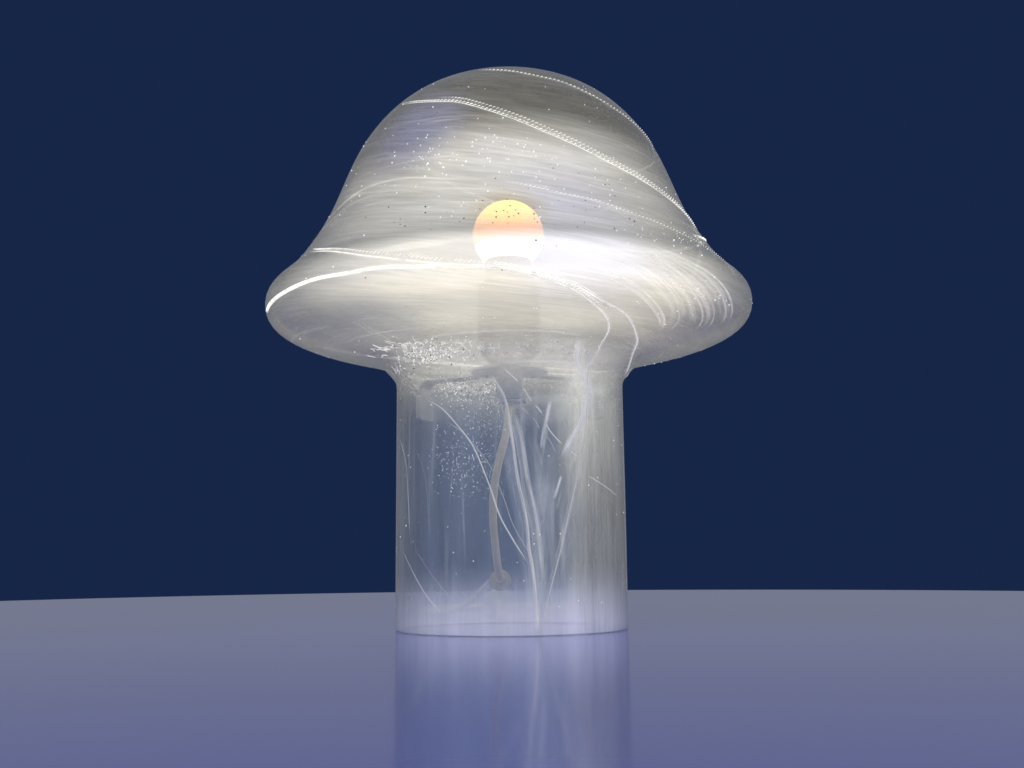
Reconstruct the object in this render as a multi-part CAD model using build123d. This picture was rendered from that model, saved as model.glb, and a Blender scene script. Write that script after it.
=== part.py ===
from build123d import *
from math import cos, hypot, pi, radians, sin, tan
import os

# A mushroom table lamp: one blown glass body, a sprung bracket in its stem that carries the
# lampholder and bulb, and a mains lead with a rocker switch and a two-pin plug.
# Millimetres, +Z up. The origin is the centre of the ground rim that the lamp stands on,
# and the lead leaves at the back, towards +Y.

os.makedirs("parts", exist_ok=True)
parts = {}

# ---------------------------------------------------------------- driving dimensions
# Glass
stem_radius = 69.8
stem_height = 150.2
neck_radius = 81.0
neck_height = 162.5
brim_radius = 150.0
brim_height = 194.6
glass_height = 343.4
glass_wall = 3.5
underside_slope = 17.0
# Shares of the way from the neck to the brim, and of the brim radius and the dome's height.
underside_stations = [(0.522, 0.315), (0.812, 0.498), (0.949, 0.685)]
dome_stations = [
    (0.935, 0.099), (0.839, 0.216), (0.774, 0.323), (0.725, 0.431), (0.682, 0.547),
    (0.629, 0.667), (0.554, 0.779), (0.457, 0.877), (0.340, 0.952),
]
crown_radius = 31.0
crown_drop = 1.4

# Mains lead and the hole it leaves by
cord_diameter = 5.0
cord_clearance = 0.05
hole_height = 28.0
hole_radius = 5.0
hole_turn = 6.5
grommet_flange_radius = 7.0
grommet_flange = 1.8
grommet_tail = 24.0
grommet_tail_root = 5.4
grommet_tail_tip = 3.6
seat_clearance = 0.05

# Sprung bracket
bracket_height = 158.0
hub_radius = 24.0
hub_thickness = 1.5
arm_count = 3
first_arm_angle = 30.0
arm_width = 12.0
arm_thickness = 1.0
arm_bend = 6.0
arm_drop = 24.0
arm_root_inner = 12.0
arm_play = 0.3
tip_length = 15.0
tip_thickness = 3.6
tip_width = 15.0
rivet_radius = 1.6
rivet_head = 2.8
rivet_head_height = 0.8

# Threaded nipple, its nut and washer, and the cord grip
nipple_radius = 5.0
nipple_bore = 3.6
nipple_above = 8.0
nipple_inset = 2.0
nipple_below = 16.0
thread_clearance = 0.05
nut_across_flats = 14.0
nut_thickness = 3.5
washer_radius = 8.5
washer_thickness = 0.8
grip_radius = 8.0
grip_length = 13.0
grip_overlap = 8.0
grip_screw_radius = 1.5
grip_screw_head = 2.6

# Lampholder for an E27 bulb
holder_radius = 19.5
holder_height = 55.0
holder_wall = 1.9
holder_joint = 26.0
holder_boss = 9.0
holder_shoulder = 13.0
holder_boss_rise = 5.0
holder_shoulder_rise = 13.0
holder_floor = 7.0
holder_floor_rise = 14.0
spigot_height = 4.0
insert_radius = 16.2
insert_low = 18.0
insert_floor = 28.8
sleeve_inner = 13.5
sleeve_groove = 0.5
sleeve_wall = 0.4
bulb_depth = 23.5
contact_strip = 0.4
contact_play = 0.2
terminal_offset = 9.0
terminal_size = (5.5, 7.0, 6.0)
terminal_screw_radius = 1.5
core_radius = 0.9
core_spread = 1.25

# Bulb: a 45 mm ball on an E27 cap
ball_diameter = 45.0
ball_wall = 1.2
bulb_length = 78.0
collar_height = 16.0
collar_radius = 14.3
cap_crest = 13.1
cap_groove = 0.8
cap_wall = 0.5
thread_pitch = 3.629
button_radius = 4.6
button_height = 1.0
insulator_height = 2.6
board_thickness = 1.2
board_radius = 12.0
chip_size = 2.8
chip_count = 8
chip_circle = 8.0
driver_width = 15.0
driver_height = 20.0

# Rocker switch in the lead
switch_length = 54.0
switch_width = 24.0
switch_height = 17.0
switch_split = 8.0
switch_wall = 2.0
switch_corner = 7.0
relief_length = 16.0
relief_root = 4.8
relief_tip = 3.2
relief_neck = 3.0
relief_collar = 1.4
post_offset = 17.0
post_radius = 3.2
screw_radius = 1.5
screw_head = 2.8
rocker_radius = 9.7
rocker_width = 12.4
rocker_play = 0.3
rocker_pivot = 13.0
rocker_top = 6.0
rocker_under = 2.0
rocker_dish = 28.0
rocker_throw = 14.0
rocker_pin_radius = 1.2
running_clearance = 0.05
bridge_thickness = 0.6
bridge_length = 14.0
bridge_width = 4.0
contact_width = 3.0
contact_offset = 6.0

# Two-pin plug
plug_thickness = 13.6
plug_width = 35.0
plug_neck = 15.0
plug_length = 36.0
plug_shoulder = 15.0
plug_round = 3.0
plug_relief = 24.0
plug_relief_root = 5.0
plug_relief_tip = 3.2
pin_spacing = 19.0
pin_radius = 2.0
pin_length = 19.0
pin_core = 1.5
pin_sleeve_length = 10.0
pin_root = 8.0

# Coil of the put-away length, and where the things on the floor lie
coil_centre = (32.0, 118.0)
coil_radius = 40.0
coil_pitch = 5.5
coil_tuck = 0.8
coil_half_turns = 6
switch_place = (-10.0, 203.0)
plug_place = (66.0, 166.0)

# ---------------------------------------------------------------- derived heights and radii
cord_radius = cord_diameter / 2
stem_inner = stem_radius - glass_wall
hub_low = bracket_height - hub_thickness
arm_mid = hub_low - arm_thickness / 2
holder_rim = bracket_height + holder_height
contact_level = holder_rim - bulb_depth
ball_centre = contact_level + bulb_length - ball_diameter / 2
collar_low = holder_rim - 1.0
collar_top = collar_low + collar_height
insert_top = bracket_height + insert_floor
grip_top = bracket_height - nipple_below + grip_overlap
nipple_top = bracket_height + nipple_above
lead_top = nipple_top - nipple_inset
grommet_tip = stem_radius + grommet_flange + grommet_tail
to_back = Rot(0, 0, hole_turn) * Pos(0, 0, hole_height) * Rot(-90, 0, 0)


# ---------------------------------------------------------------- shared shapes
def disc(radius, low, high, x=0.0, y=0.0):
    """An upright cylinder between two heights."""
    return Pos(x, y, low) * extrude(Circle(radius), high - low)


def tube(outer, inner, low, high):
    """An upright ring between two heights."""
    return disc(outer, low, high) - disc(inner, low, high)


def block(width, depth, low, high, x=0.0, y=0.0):
    """An upright box between two heights."""
    return Pos(x, y, low) * extrude(Rectangle(width, depth), high - low)


def turned(outline):
    """A piece turned about Z from its (radius, height) outline."""
    face = make_face(Polyline(*[(r, 0, z) for r, z in outline], close=True))
    return revolve(face, Axis.Z)


def around(count, radius, first=0.0):
    """Places spaced evenly round Z."""
    return [Rot(0, 0, first + 360 / count * k) * Pos(radius, 0, 0) for k in range(count)]


def group(solids):
    """Several separate solids that share one name."""
    return Compound(children=[solid for solid in solids])


# ---------------------------------------------------------------- glass
def inward(direction):
    """The normal towards the hollow, for a direction up the outline."""
    return Vector(-direction.Z, 0, direction.X)


def inner_corner(point, before, after):
    """The hollow's corner behind an outer corner, one wall away from both its sides."""
    first, second = inward(before), inward(after)
    return point + (first + second) * (glass_wall / (1 + first.dot(second)))


def inset_points(curve, steps):
    """Points one wall inside a curve, taken evenly along it."""
    shares = [k / steps for k in range(steps + 1)]
    return [curve @ share + inward(curve % share) * glass_wall for share in shares]


def glass_body():
    """Stem, flared neck, brim and dome as one blown wall, open at the foot."""
    up, across = Vector(0, 0, 1), Vector(-1, 0, 0)
    slope = Vector(cos(radians(underside_slope)), 0, sin(radians(underside_slope)))
    rim = Vector(stem_radius, 0, 0)
    stem_top = Vector(stem_radius, 0, stem_height)
    neck = Vector(neck_radius, 0, neck_height)
    brim = Vector(brim_radius, 0, brim_height)
    top = Vector(0, 0, glass_height)
    flare = (neck - stem_top).normalized()
    under = [
        neck + Vector((brim - neck).X * share, 0, (brim - neck).Z * rise)
        for share, rise in underside_stations
    ]
    dome = [
        Vector(brim_radius * share, 0, brim_height + (glass_height - brim_height) * rise)
        for share, rise in dome_stations
    ]
    crown = TangentArc(top, (crown_radius, 0, glass_height - crown_drop), tangent=-across)
    under_curve = Spline(neck, *under, brim, tangents=(slope, up))
    dome_curve = Spline(brim, *dome, crown @ 1, tangents=(up, -(crown % 1)))

    inner_top = top - Vector(0, 0, glass_wall)
    inner_crown = TangentArc(
        inner_top, crown @ 1 + inward(-(crown % 1)) * glass_wall, tangent=-across
    )
    inner_brim = brim - Vector(glass_wall, 0, 0)
    inner_neck = inner_corner(neck, flare, slope)
    inner_stem = inner_corner(stem_top, up, flare)
    under_points = inset_points(under_curve, 8)[1:-1]
    dome_points = inset_points(dome_curve, 16)[1:-1]
    outline = (
        Line(rim, stem_top) + Line(stem_top, neck) + under_curve + dome_curve
        + crown + Line(top, inner_top) + inner_crown
        + Spline(inner_brim, *dome_points, inner_crown @ 1, tangents=(up, -(crown % 1)))
        + Spline(inner_neck, *under_points, inner_brim, tangents=(slope, up))
        + Line(inner_neck, inner_stem)
        + Line(inner_stem, (stem_inner, 0, 0)) + Line((stem_inner, 0, 0), rim)
    )
    hole = to_back * disc(hole_radius, stem_inner - glass_wall, stem_radius + glass_wall)
    return revolve(make_face(outline), Axis.Z) - hole


def cord_grommet():
    """Bush in the glass hole: a flange each side of the wall and a tapered tail."""
    flanges = to_back * disc(
        grommet_flange_radius, stem_inner - grommet_flange, stem_radius + grommet_flange
    )
    flanges -= tube(
        stem_radius + seat_clearance, stem_inner - seat_clearance,
        hole_height - 2 * grommet_flange_radius, hole_height + 2 * grommet_flange_radius,
    )
    neck = to_back * disc(
        hole_radius - seat_clearance, stem_inner - grommet_flange, stem_radius + grommet_flange
    )
    tail = to_back * turned([
        (0, stem_radius + grommet_flange / 2), (grommet_tail_root, stem_radius + grommet_flange / 2),
        (grommet_tail_tip, grommet_tip), (0, grommet_tip),
    ])
    bore = to_back * disc(cord_radius + cord_clearance, stem_inner - glass_wall, grommet_tip + 1)
    return flanges + neck + tail - bore


parts["glass_body"] = glass_body()
parts["cord_grommet"] = cord_grommet()


# ---------------------------------------------------------------- bracket
def arm_path():
    """Middle line of a leaf: out from the hub, round its bend and down beside the glass."""
    start = (hub_radius + arm_play, 0, arm_mid)
    corner = (tip_middle(), 0, arm_mid)
    end = (tip_middle(), 0, arm_mid - arm_drop)
    return FilletPolyline(start, corner, end, radius=arm_bend)


def tip_middle():
    """How far out the leaf's downward end lies."""
    return stem_inner - arm_play - tip_thickness / 2


def spring_arm():
    path = arm_path()
    section = Plane(origin=path @ 0, x_dir=(0, 1, 0), z_dir=(1, 0, 0)) * Rectangle(
        arm_width, arm_thickness
    )
    return sweep(section, path=path)


def arm_tip():
    """Soft sleeve on the leaf's end, its outer face curved to the glass."""
    high = arm_mid - arm_drop + tip_length
    low = arm_mid - arm_drop - tip_thickness / 3
    sleeve = block(tip_thickness + 2 * arm_play, tip_width, low, high, x=tip_middle())
    sleeve = fillet(sleeve.edges().filter_by(Axis.X), 2.0)
    slot = block(
        arm_thickness + 2 * seat_clearance, arm_width + 2 * seat_clearance,
        arm_mid - arm_drop - seat_clearance, high, x=tip_middle(),
    )
    return (sleeve & disc(stem_inner - arm_play, low, high)) - slot


def arm_root():
    """Riveted inner end of a leaf, flat under the hub."""
    middle = (arm_root_inner + hub_radius) / 2
    root = block(
        hub_radius - arm_root_inner, arm_width, hub_low - arm_thickness, hub_low, x=middle
    )
    return root - disc(rivet_radius, hub_low - arm_thickness, hub_low, x=middle)


def arm_rivet():
    middle = (arm_root_inner + hub_radius) / 2
    low = hub_low - arm_thickness
    shank = disc(rivet_radius, low, bracket_height, x=middle)
    upper = disc(rivet_head, bracket_height, bracket_height + rivet_head_height, x=middle)
    lower = disc(rivet_head, low - rivet_head_height, low, x=middle)
    return shank + fillet(upper.edges().group_by(Axis.Z)[-1], 0.5) + fillet(
        lower.edges().group_by(Axis.Z)[0], 0.5
    )


def bracket_hub():
    """Round plate with a hole for the nipple and one for each rivet."""
    plate = tube(hub_radius, nipple_radius + thread_clearance, hub_low, bracket_height)
    for place in around(arm_count, (arm_root_inner + hub_radius) / 2, first_arm_angle):
        plate -= place * disc(rivet_radius, hub_low, bracket_height)
    return plate


arm_places = around(arm_count, 0, first_arm_angle)
parts["bracket_hub"] = bracket_hub()
parts["arm_roots"] = group(place * arm_root() for place in arm_places)
parts["arm_rivets"] = group(place * arm_rivet() for place in arm_places)
for number, place in enumerate(arm_places, start=1):
    parts[f"spring_arm_{number}"] = place * spring_arm()
    parts[f"arm_tip_{number}"] = place * arm_tip()


# ---------------------------------------------------------------- nipple, nut and cord grip
def lock_nut():
    top = hub_low - washer_thickness
    prism = Pos(0, 0, top - nut_thickness) * extrude(
        RegularPolygon(nut_across_flats / 2, 6, major_radius=False), nut_thickness
    )
    return prism - disc(nipple_radius + thread_clearance, top - nut_thickness, top)


def cord_grip():
    """Cap on the nipple's lower end that pinches the lead with a side screw."""
    low = grip_top - grip_length
    shoulder = grip_top - grip_overlap
    body = disc(grip_radius, low, grip_top)
    body = fillet(body.edges().group_by(Axis.Z)[0], 2.0)
    body -= disc(nipple_radius + thread_clearance, shoulder, grip_top)
    body -= disc(cord_radius + cord_clearance, low, shoulder)
    return body - grip_screw_hole(grip_screw_radius)


def grip_screw_hole(radius):
    """The side screw's bore, from the lead to the grip's skin."""
    height = grip_top - (grip_overlap + grip_length) / 2
    return Pos(0, 0, height) * Rot(0, 90, 0) * disc(radius, cord_radius + 0.2, grip_radius)


def cord_grip_screw():
    height = grip_top - (grip_overlap + grip_length) / 2
    shank = grip_screw_hole(grip_screw_radius)
    head = Pos(0, 0, height) * Rot(0, 90, 0) * disc(grip_screw_head, grip_radius, grip_radius + 1.8)
    slot = block(1.2, 2 * grip_screw_head, height - 0.3, height + 0.3, x=grip_radius + 1.8)
    return shank + head - slot


parts["threaded_nipple"] = tube(
    nipple_radius, nipple_bore, bracket_height - nipple_below, nipple_top
)
parts["lock_washer"] = tube(
    washer_radius, nipple_radius + thread_clearance, hub_low - washer_thickness, hub_low
)
parts["lock_nut"] = lock_nut()
parts["cord_grip"] = cord_grip()
parts["cord_grip_screw"] = cord_grip_screw()


# ---------------------------------------------------------------- lampholder
def holder_cap():
    """Lower cup of the holder, screwed on the nipple, with a spigot for the shell."""
    low, joint = bracket_height, bracket_height + holder_joint
    spigot = holder_radius - holder_wall - seat_clearance
    body = turned([
        (nipple_radius + thread_clearance, low), (holder_boss, low),
        (holder_shoulder, low + holder_boss_rise), (holder_radius, low + holder_shoulder_rise),
        (holder_radius, joint),
        (spigot, joint), (spigot, joint + spigot_height),
        (spigot - holder_wall / 2, joint + spigot_height),
        (spigot - holder_wall / 2, low + holder_floor_rise),
        (holder_shoulder - holder_wall, low + holder_floor),
        (nipple_radius + thread_clearance, low + holder_floor),
    ])
    return body


def holder_shell():
    """Upper skirt of the holder, with a lip over the insert."""
    low = bracket_height + holder_joint
    inner = holder_radius - holder_wall
    lip = sleeve_inner + sleeve_groove + sleeve_wall + 0.6
    return turned([
        (inner, low), (holder_radius, low), (holder_radius, holder_rim - 1.0),
        (holder_radius - 1.0, holder_rim), (lip, holder_rim), (lip, holder_rim - holder_wall),
        (inner, holder_rim - holder_wall),
    ])


def sleeve_levels():
    """Heights between which the holder's thread sleeve stands."""
    return insert_top, holder_rim - holder_wall - 0.2


def holder_insert():
    """Insulating core: a thick floor for the contacts and a cup round the thread sleeve."""
    low = bracket_height + insert_low
    high = sleeve_levels()[1]
    cup = sleeve_inner + sleeve_groove + sleeve_wall + seat_clearance
    return turned([
        (0, low), (insert_radius, low), (insert_radius, high), (cup, high),
        (cup, insert_top), (0, insert_top),
    ])


def thread_outline(low, high, crest, groove):
    """Outer side of a rolled thread, drawn as rings one pitch apart."""
    count = int((high - low) / thread_pitch)
    points = [(crest - groove, low)]
    for turn in range(count):
        base = low + turn * thread_pitch
        points.append((crest, base + thread_pitch / 2))
        points.append((crest - groove, base + thread_pitch))
    if high - (low + count * thread_pitch) > 0.01:
        points.append((crest - groove, high))
    return points


def thread_shell(low, high, crest, groove, wall):
    """Thin rolled-thread tube of even wall."""
    outside = thread_outline(low, high, crest, groove)
    inside = [(r - wall, z) for r, z in reversed(outside)]
    return turned(outside + inside)


def centre_contact():
    """Sprung tongue under the bulb's button."""
    level = contact_level - contact_play
    foot = block(9.0, 5.0, insert_top, insert_top + contact_strip, x=-6.5)
    riser = block(contact_strip, 5.0, insert_top, level, x=-2.2)
    pad = block(4.4, 5.0, level - contact_strip, level, x=-0.2)
    return foot + riser + pad


def side_contact():
    """Strip from the floor of the insert up the inside of the thread sleeve."""
    inner = sleeve_inner - sleeve_wall
    foot = block(5.0, 4.0, insert_top, insert_top + contact_strip, x=inner - 3.0)
    riser = block(contact_strip, 4.0, insert_top, insert_top + 1.6, x=inner - 0.5)
    return foot + riser


def terminal_block(side):
    width, depth, height = terminal_size
    top = bracket_height + insert_low
    body = block(width, depth, top - height, top, x=side * terminal_offset)
    return body - terminal_screw(side)


def terminal_screw(side):
    """Cheese-head clamp screw in the outer end of a terminal, lying along Y."""
    width, depth, height = terminal_size
    middle = bracket_height + insert_low - height / 2
    place = Pos(side * terminal_offset, 0, middle) * Rot(-90, 0, 0)
    shank = place * disc(terminal_screw_radius, 0.5, depth / 2)
    head = place * disc(2.5, depth / 2, depth / 2 + 1.8)
    return shank + head


def core_wire(side):
    """Insulated core from the lead's end to the underside of its terminal."""
    high = bracket_height + insert_low - terminal_size[2]
    bend = core_radius + 0.1
    path = FilletPolyline(
        (side * core_spread, 0, lead_top), (side * core_spread, 0, nipple_top + 1.4 * bend),
        (side * terminal_offset, 0, high - 1.4 * bend), (side * terminal_offset, 0, high),
        radius=bend,
    )
    return sweep(Plane(origin=path @ 0, z_dir=(0, 0, 1)) * Circle(core_radius), path=path)


sleeve_low, sleeve_high = sleeve_levels()
sleeve_crest = sleeve_inner + sleeve_groove + sleeve_wall
parts["holder_cap"] = holder_cap()
parts["holder_insert"] = holder_insert()
parts["holder_shell"] = holder_shell()
parts["thread_sleeve"] = thread_shell(
    sleeve_low, sleeve_high, sleeve_crest, sleeve_groove, sleeve_wall
)
parts["centre_contact"] = centre_contact()
parts["side_contact"] = side_contact()
parts["terminal_blocks"] = group(terminal_block(side) for side in (-1, 1))
parts["terminal_screws"] = group(terminal_screw(side) for side in (-1, 1))
parts["core_wires"] = group(core_wire(side) for side in (-1, 1))


# ---------------------------------------------------------------- bulb
def bulb_diffuser():
    """Frosted ball, open where it stands on the collar."""
    radius = ball_diameter / 2
    ball = Pos(0, 0, ball_centre) * (Sphere(radius) - Sphere(radius - ball_wall))
    return ball - disc(radius + 1, ball_centre - radius - 1, collar_top)


def mouth_radius():
    """Outer radius of the ball where it meets the collar."""
    rise = collar_top - ball_centre
    return (ball_diameter ** 2 / 4 - rise ** 2) ** 0.5


def bulb_housing():
    """Collar between the cap and the ball, hollow for the driver, with a deck on top."""
    wall = 1.4
    return turned([
        (cap_crest - cap_groove - cap_wall - seat_clearance, collar_low - 3.0),
        (cap_crest - cap_groove - cap_wall - seat_clearance, collar_low),
        (collar_radius, collar_low), (mouth_radius(), collar_top),
        (0, collar_top), (0, collar_top - wall), (mouth_radius() - 2 * wall, collar_top - wall),
        (collar_radius - 3 * wall, collar_low), (collar_radius - 3 * wall, collar_low - 3.0),
    ])


def bulb_insulator():
    """Glass-like cone between the screw cap and the centre button."""
    low = contact_level + button_height
    rim = cap_crest - cap_groove - cap_wall
    high = low + insulator_height
    return turned([(0, low), (button_radius, low), (rim, high), (0, high)])


def led_chips():
    base = collar_top + board_thickness
    chip = block(chip_size, chip_size, base, base + 0.8)
    return group(place * chip for place in around(chip_count, chip_circle))


def driver_board():
    """Upright circuit board under the collar's deck."""
    high = collar_top - 1.4 - seat_clearance
    return block(driver_width, board_thickness, high - driver_height, high)


cap_low = contact_level + button_height + insulator_height
parts["bulb_contact"] = disc(button_radius, contact_level, contact_level + button_height)
parts["bulb_insulator"] = bulb_insulator()
parts["bulb_cap"] = thread_shell(cap_low, collar_low, cap_crest, cap_groove, cap_wall) + disc(
    cap_crest - cap_groove, cap_low, cap_low + cap_wall
)
parts["bulb_housing"] = bulb_housing()
parts["bulb_diffuser"] = bulb_diffuser()
parts["led_board"] = disc(board_radius, collar_top, collar_top + board_thickness)
parts["led_chips"] = led_chips()
parts["driver_board"] = driver_board()


# ---------------------------------------------------------------- lead
def corner_turns(points):
    """Turn of the route at each of its inner points, in degrees."""
    runs = [(after - before) for before, after in zip(points, points[1:])]
    return [first.get_angle(second) for first, second in zip(runs, runs[1:])]


def cord_tube(name, route):
    """Round lead along straight runs joined by the largest arcs that they allow."""
    points = [Vector(*point) for point in route]
    runs = [(after - before).length for before, after in zip(points, points[1:])]
    turns = corner_turns(points)
    radii = [
        0.45 * min(pair) / tan(radians(turn / 2))
        for pair, turn in zip(zip(runs, runs[1:]), turns)
    ]
    path = FilletPolyline(*points, radius=radii)
    face = Plane(origin=path @ 0, z_dir=path % 0) * Circle(cord_radius)
    solid = sweep(face, path=path)
    share = solid.volume / (pi * cord_radius ** 2 * path.length)
    print(name, "length", round(path.length, 1), "volume share", round(share, 4),
          "radii", [round(radius) for radius in radii])
    return solid


def at_back(distance, height=hole_height):
    """A point straight behind the cord hole."""
    turn = radians(hole_turn)
    return (-distance * sin(turn), distance * cos(turn), height)


inner_route = [
    (0, 0, lead_top), (0, 0, 126.0), (-6.0, 2.0, 106.0), (-10.5, 9.0, 87.0),
    (-11.5, 19.0, 67.0), (-10.0, 30.0, 48.0), (-8.5, 41.0, 34.0),
    at_back(stem_inner - 11.0), at_back(grommet_tip),
]
lead_route = [
    at_back(grommet_tip), at_back(grommet_tip + 20.0), (-20.0, 135.5, 21.5),
    (-30.0, 151.0, 11.8), (-43.0, 166.0, 5.0), (-55.0, 184.0, 2.5), (-64.0, 204.0, 2.5),
    (-70.0, 224.0, 2.5), (-72.0, 245.0, 2.5), (-70.5, 264.5, 2.5), (-62.5, 279.0, 2.5),
    (-48.5, 287.5, 2.5), (-32.3, 287.0, 2.5), (-18.2, 279.0, 4.0), (-10.0, 264.0, 8.0),
    (-10.0, 246.0, 8.0),
]
link_route = [
    (-10.0, 160.0, 8.0), (-10.0, 149.0, 8.0), (-8.0, 134.5, 2.5), (-8.0, 123.0, 2.5),
]
tail_route = [
    (72.0, 123.0, 8.0), (72.0, 136.0, 8.0), (66.0, 153.0, 6.8), (66.0, 166.0, 6.8),
]


def coil_reaches():
    """Distances of the spiral from the coil's centre after each half turn, going in."""
    reaches = [coil_radius - turn * coil_pitch / 2 for turn in range(coil_half_turns + 1)]
    reaches[-1] -= coil_tuck
    return reaches


def coil_wire():
    """The coil's middle line: in on the floor, up a layer, and out again on top."""
    low, high = cord_radius, cord_radius + coil_pitch

    def place(side, reach, height):
        return Vector(coil_centre[0] + side * reach, coil_centre[1], height)

    reaches = coil_reaches()
    start = place(-1, reaches[0], low)
    edges = [Line(start + Vector(0, cord_diameter, 0), start)]
    side = -1
    for reach in reaches[1:]:
        edges.append(TangentArc(edges[-1] @ 1, place(-side, reach, low), tangent=(0, side, 0)))
        side = -side
    bulge = hypot(reaches[-1], coil_pitch / 2)
    crest = Vector(coil_centre[0], coil_centre[1] + side * bulge, (low + high) / 2)
    edges.append(TangentArc(edges[-1] @ 1, crest, tangent=(0, side, 0)))
    edges.append(TangentArc(crest, place(-side, reaches[-1], high), tangent=edges[-1] % 1))
    side = -side
    for reach in reversed(reaches[:-1]):
        edges.append(TangentArc(edges[-1] @ 1, place(-side, reach, high), tangent=(0, side, 0)))
        side = -side
    end = edges[-1] @ 1
    edges.append(Line(end, end + Vector(0, cord_diameter, 0)))
    return Wire(edges)


def least_self_gap(wire, step=2.0):
    """Least free space between stretches of the coil that aren't neighbours along it."""
    count = int(wire.length / step)
    points = [wire @ (k / count) for k in range(count + 1)]
    apart = int(4 * cord_diameter / step)
    return min(
        (points[i] - points[j]).length
        for i in range(len(points)) for j in range(i + apart, len(points))
    ) - cord_diameter


def cord_coil():
    wire = coil_wire()
    section = Plane(origin=wire @ 0, z_dir=wire % 0) * Circle(cord_radius)
    solid = sweep(section, path=wire)
    share = solid.volume / (pi * cord_radius ** 2 * wire.length)
    print("cord_coil length", round(wire.length, 1), "least gap", round(least_self_gap(wire), 2),
          "volume share", round(share, 4))
    return solid


parts["inner_cord"] = cord_tube("inner_cord", inner_route)
parts["cord_lead"] = cord_tube("cord_lead", lead_route)
parts["cord_link"] = cord_tube("cord_link", link_route)
parts["cord_coil"] = cord_coil()
parts["cord_tail"] = cord_tube("cord_tail", tail_route)


# ---------------------------------------------------------------- switch
def switch_plan(inset):
    """Plan of the switch, drawn in by an even distance."""
    return RectangleRounded(
        switch_length - 2 * inset, switch_width - 2 * inset, switch_corner - inset
    )


def relief():
    """Moulded strain relief in one end of the switch, lying along +X."""
    end = switch_length / 2
    inside = end - switch_wall - seat_clearance
    neck = relief_neck - seat_clearance
    shape = turned([
        (0, inside - relief_collar), (relief_root, inside - relief_collar), (relief_root, inside),
        (neck, inside), (neck, end + seat_clearance), (relief_root, end + seat_clearance),
        (relief_tip, end + relief_length), (0, end + relief_length),
    ])
    return Pos(0, 0, switch_split) * Rot(0, 90, 0) * shape


def relief_holes():
    """Round gaps for the two reliefs in the end walls."""
    reach = switch_length / 2 + 1
    return Pos(0, 0, switch_split) * Rot(0, 90, 0) * disc(relief_neck, -reach, reach)


def switch_screw(side):
    """Countersunk screw from below, through the base and into the cover's post."""
    x = side * post_offset
    head = Pos(x, 0, 0.3) * turned([(0, 0), (screw_head, 0), (screw_radius, 1.6), (0, 1.6)])
    return head + disc(screw_radius, 1.0, switch_height - switch_wall - 2.0, x=x)


def switch_base():
    shell = extrude(switch_plan(0), switch_split)
    shell = fillet(shell.edges().group_by(Axis.Z)[0], 1.2)
    shell -= Pos(0, 0, switch_wall) * extrude(switch_plan(switch_wall), switch_split)
    for side in (-1, 1):
        shell += disc(post_radius, switch_wall / 2, switch_split, x=side * post_offset)
        shell -= disc(screw_radius + seat_clearance, 0, switch_split, x=side * post_offset)
        shell -= Pos(side * post_offset, 0, 0) * turned([
            (0, 0), (screw_head + 0.1, 0), (screw_head + 0.1, 0.3),
            (screw_radius + seat_clearance, 2.0), (0, 2.0),
        ])
    return shell - relief_holes()


def window():
    """Opening in the cover that the rocker moves in."""
    return 2 * (rocker_radius + rocker_play), rocker_width + 2 * rocker_play


def switch_cover():
    """Upper half, with a collar round the rocker's window."""
    length, width = window()
    ceiling = switch_height - switch_wall
    shell = Pos(0, 0, switch_split) * extrude(switch_plan(0), switch_height - switch_split)
    shell = fillet(shell.edges().group_by(Axis.Z)[-1], 3.0)
    shell -= Pos(0, 0, switch_split) * extrude(
        switch_plan(switch_wall), ceiling - switch_split
    )
    collar = block(length + 3.2, width + 3.2, rocker_pivot - 2.2, ceiling + 0.5)
    shell += collar
    shell -= block(length, width, switch_split, switch_height + 1)
    for side in (-1, 1):
        shell += disc(post_radius, switch_split, ceiling + 0.5, x=side * post_offset)
    for side in (-1, 1):
        shell -= disc(screw_radius, 0, ceiling - 2.0, x=side * post_offset)
    return shell - relief_holes() - rocker_bore(rocker_pin_radius, width + 3.2)


def rocker_bore(radius, length):
    """A bar along the rocker's pivot."""
    return Pos(0, 0, rocker_pivot) * Rot(90, 0, 0) * disc(radius, -length / 2, length / 2)


def rocker_rest():
    """The rocker's rest pose: tipped to one stop about its pivot."""
    return Pos(0, 0, rocker_pivot) * Rot(0, rocker_throw / 2, 0) * Pos(0, 0, -rocker_pivot)


def switch_rocker():
    """Dished key with round ends, bored for its pin."""
    body = rocker_bore(rocker_radius, rocker_width)
    body &= block(
        3 * rocker_radius, rocker_width, rocker_pivot - rocker_under, rocker_pivot + rocker_top
    )
    dish = Pos(0, 0, rocker_pivot + rocker_top - 1.2 + rocker_dish) * Rot(90, 0, 0) * disc(
        rocker_dish, -rocker_width, rocker_width
    )
    body -= dish
    body -= rocker_bore(rocker_pin_radius + running_clearance, rocker_width)
    return rocker_rest() * body


def rocker_bridge():
    """Moving contact under the rocker."""
    low = rocker_pivot - rocker_under - bridge_thickness
    return rocker_rest() * block(bridge_length, bridge_width, low, low + bridge_thickness)


def switch_contact(side):
    """Fixed contact standing on the floor of the base."""
    tilt_reach = (contact_offset + contact_width / 2) * sin(radians(rocker_throw / 2))
    top = rocker_pivot - rocker_under - bridge_thickness - tilt_reach - rocker_play
    return block(contact_width, bridge_width, switch_wall, top, x=side * contact_offset)


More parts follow.
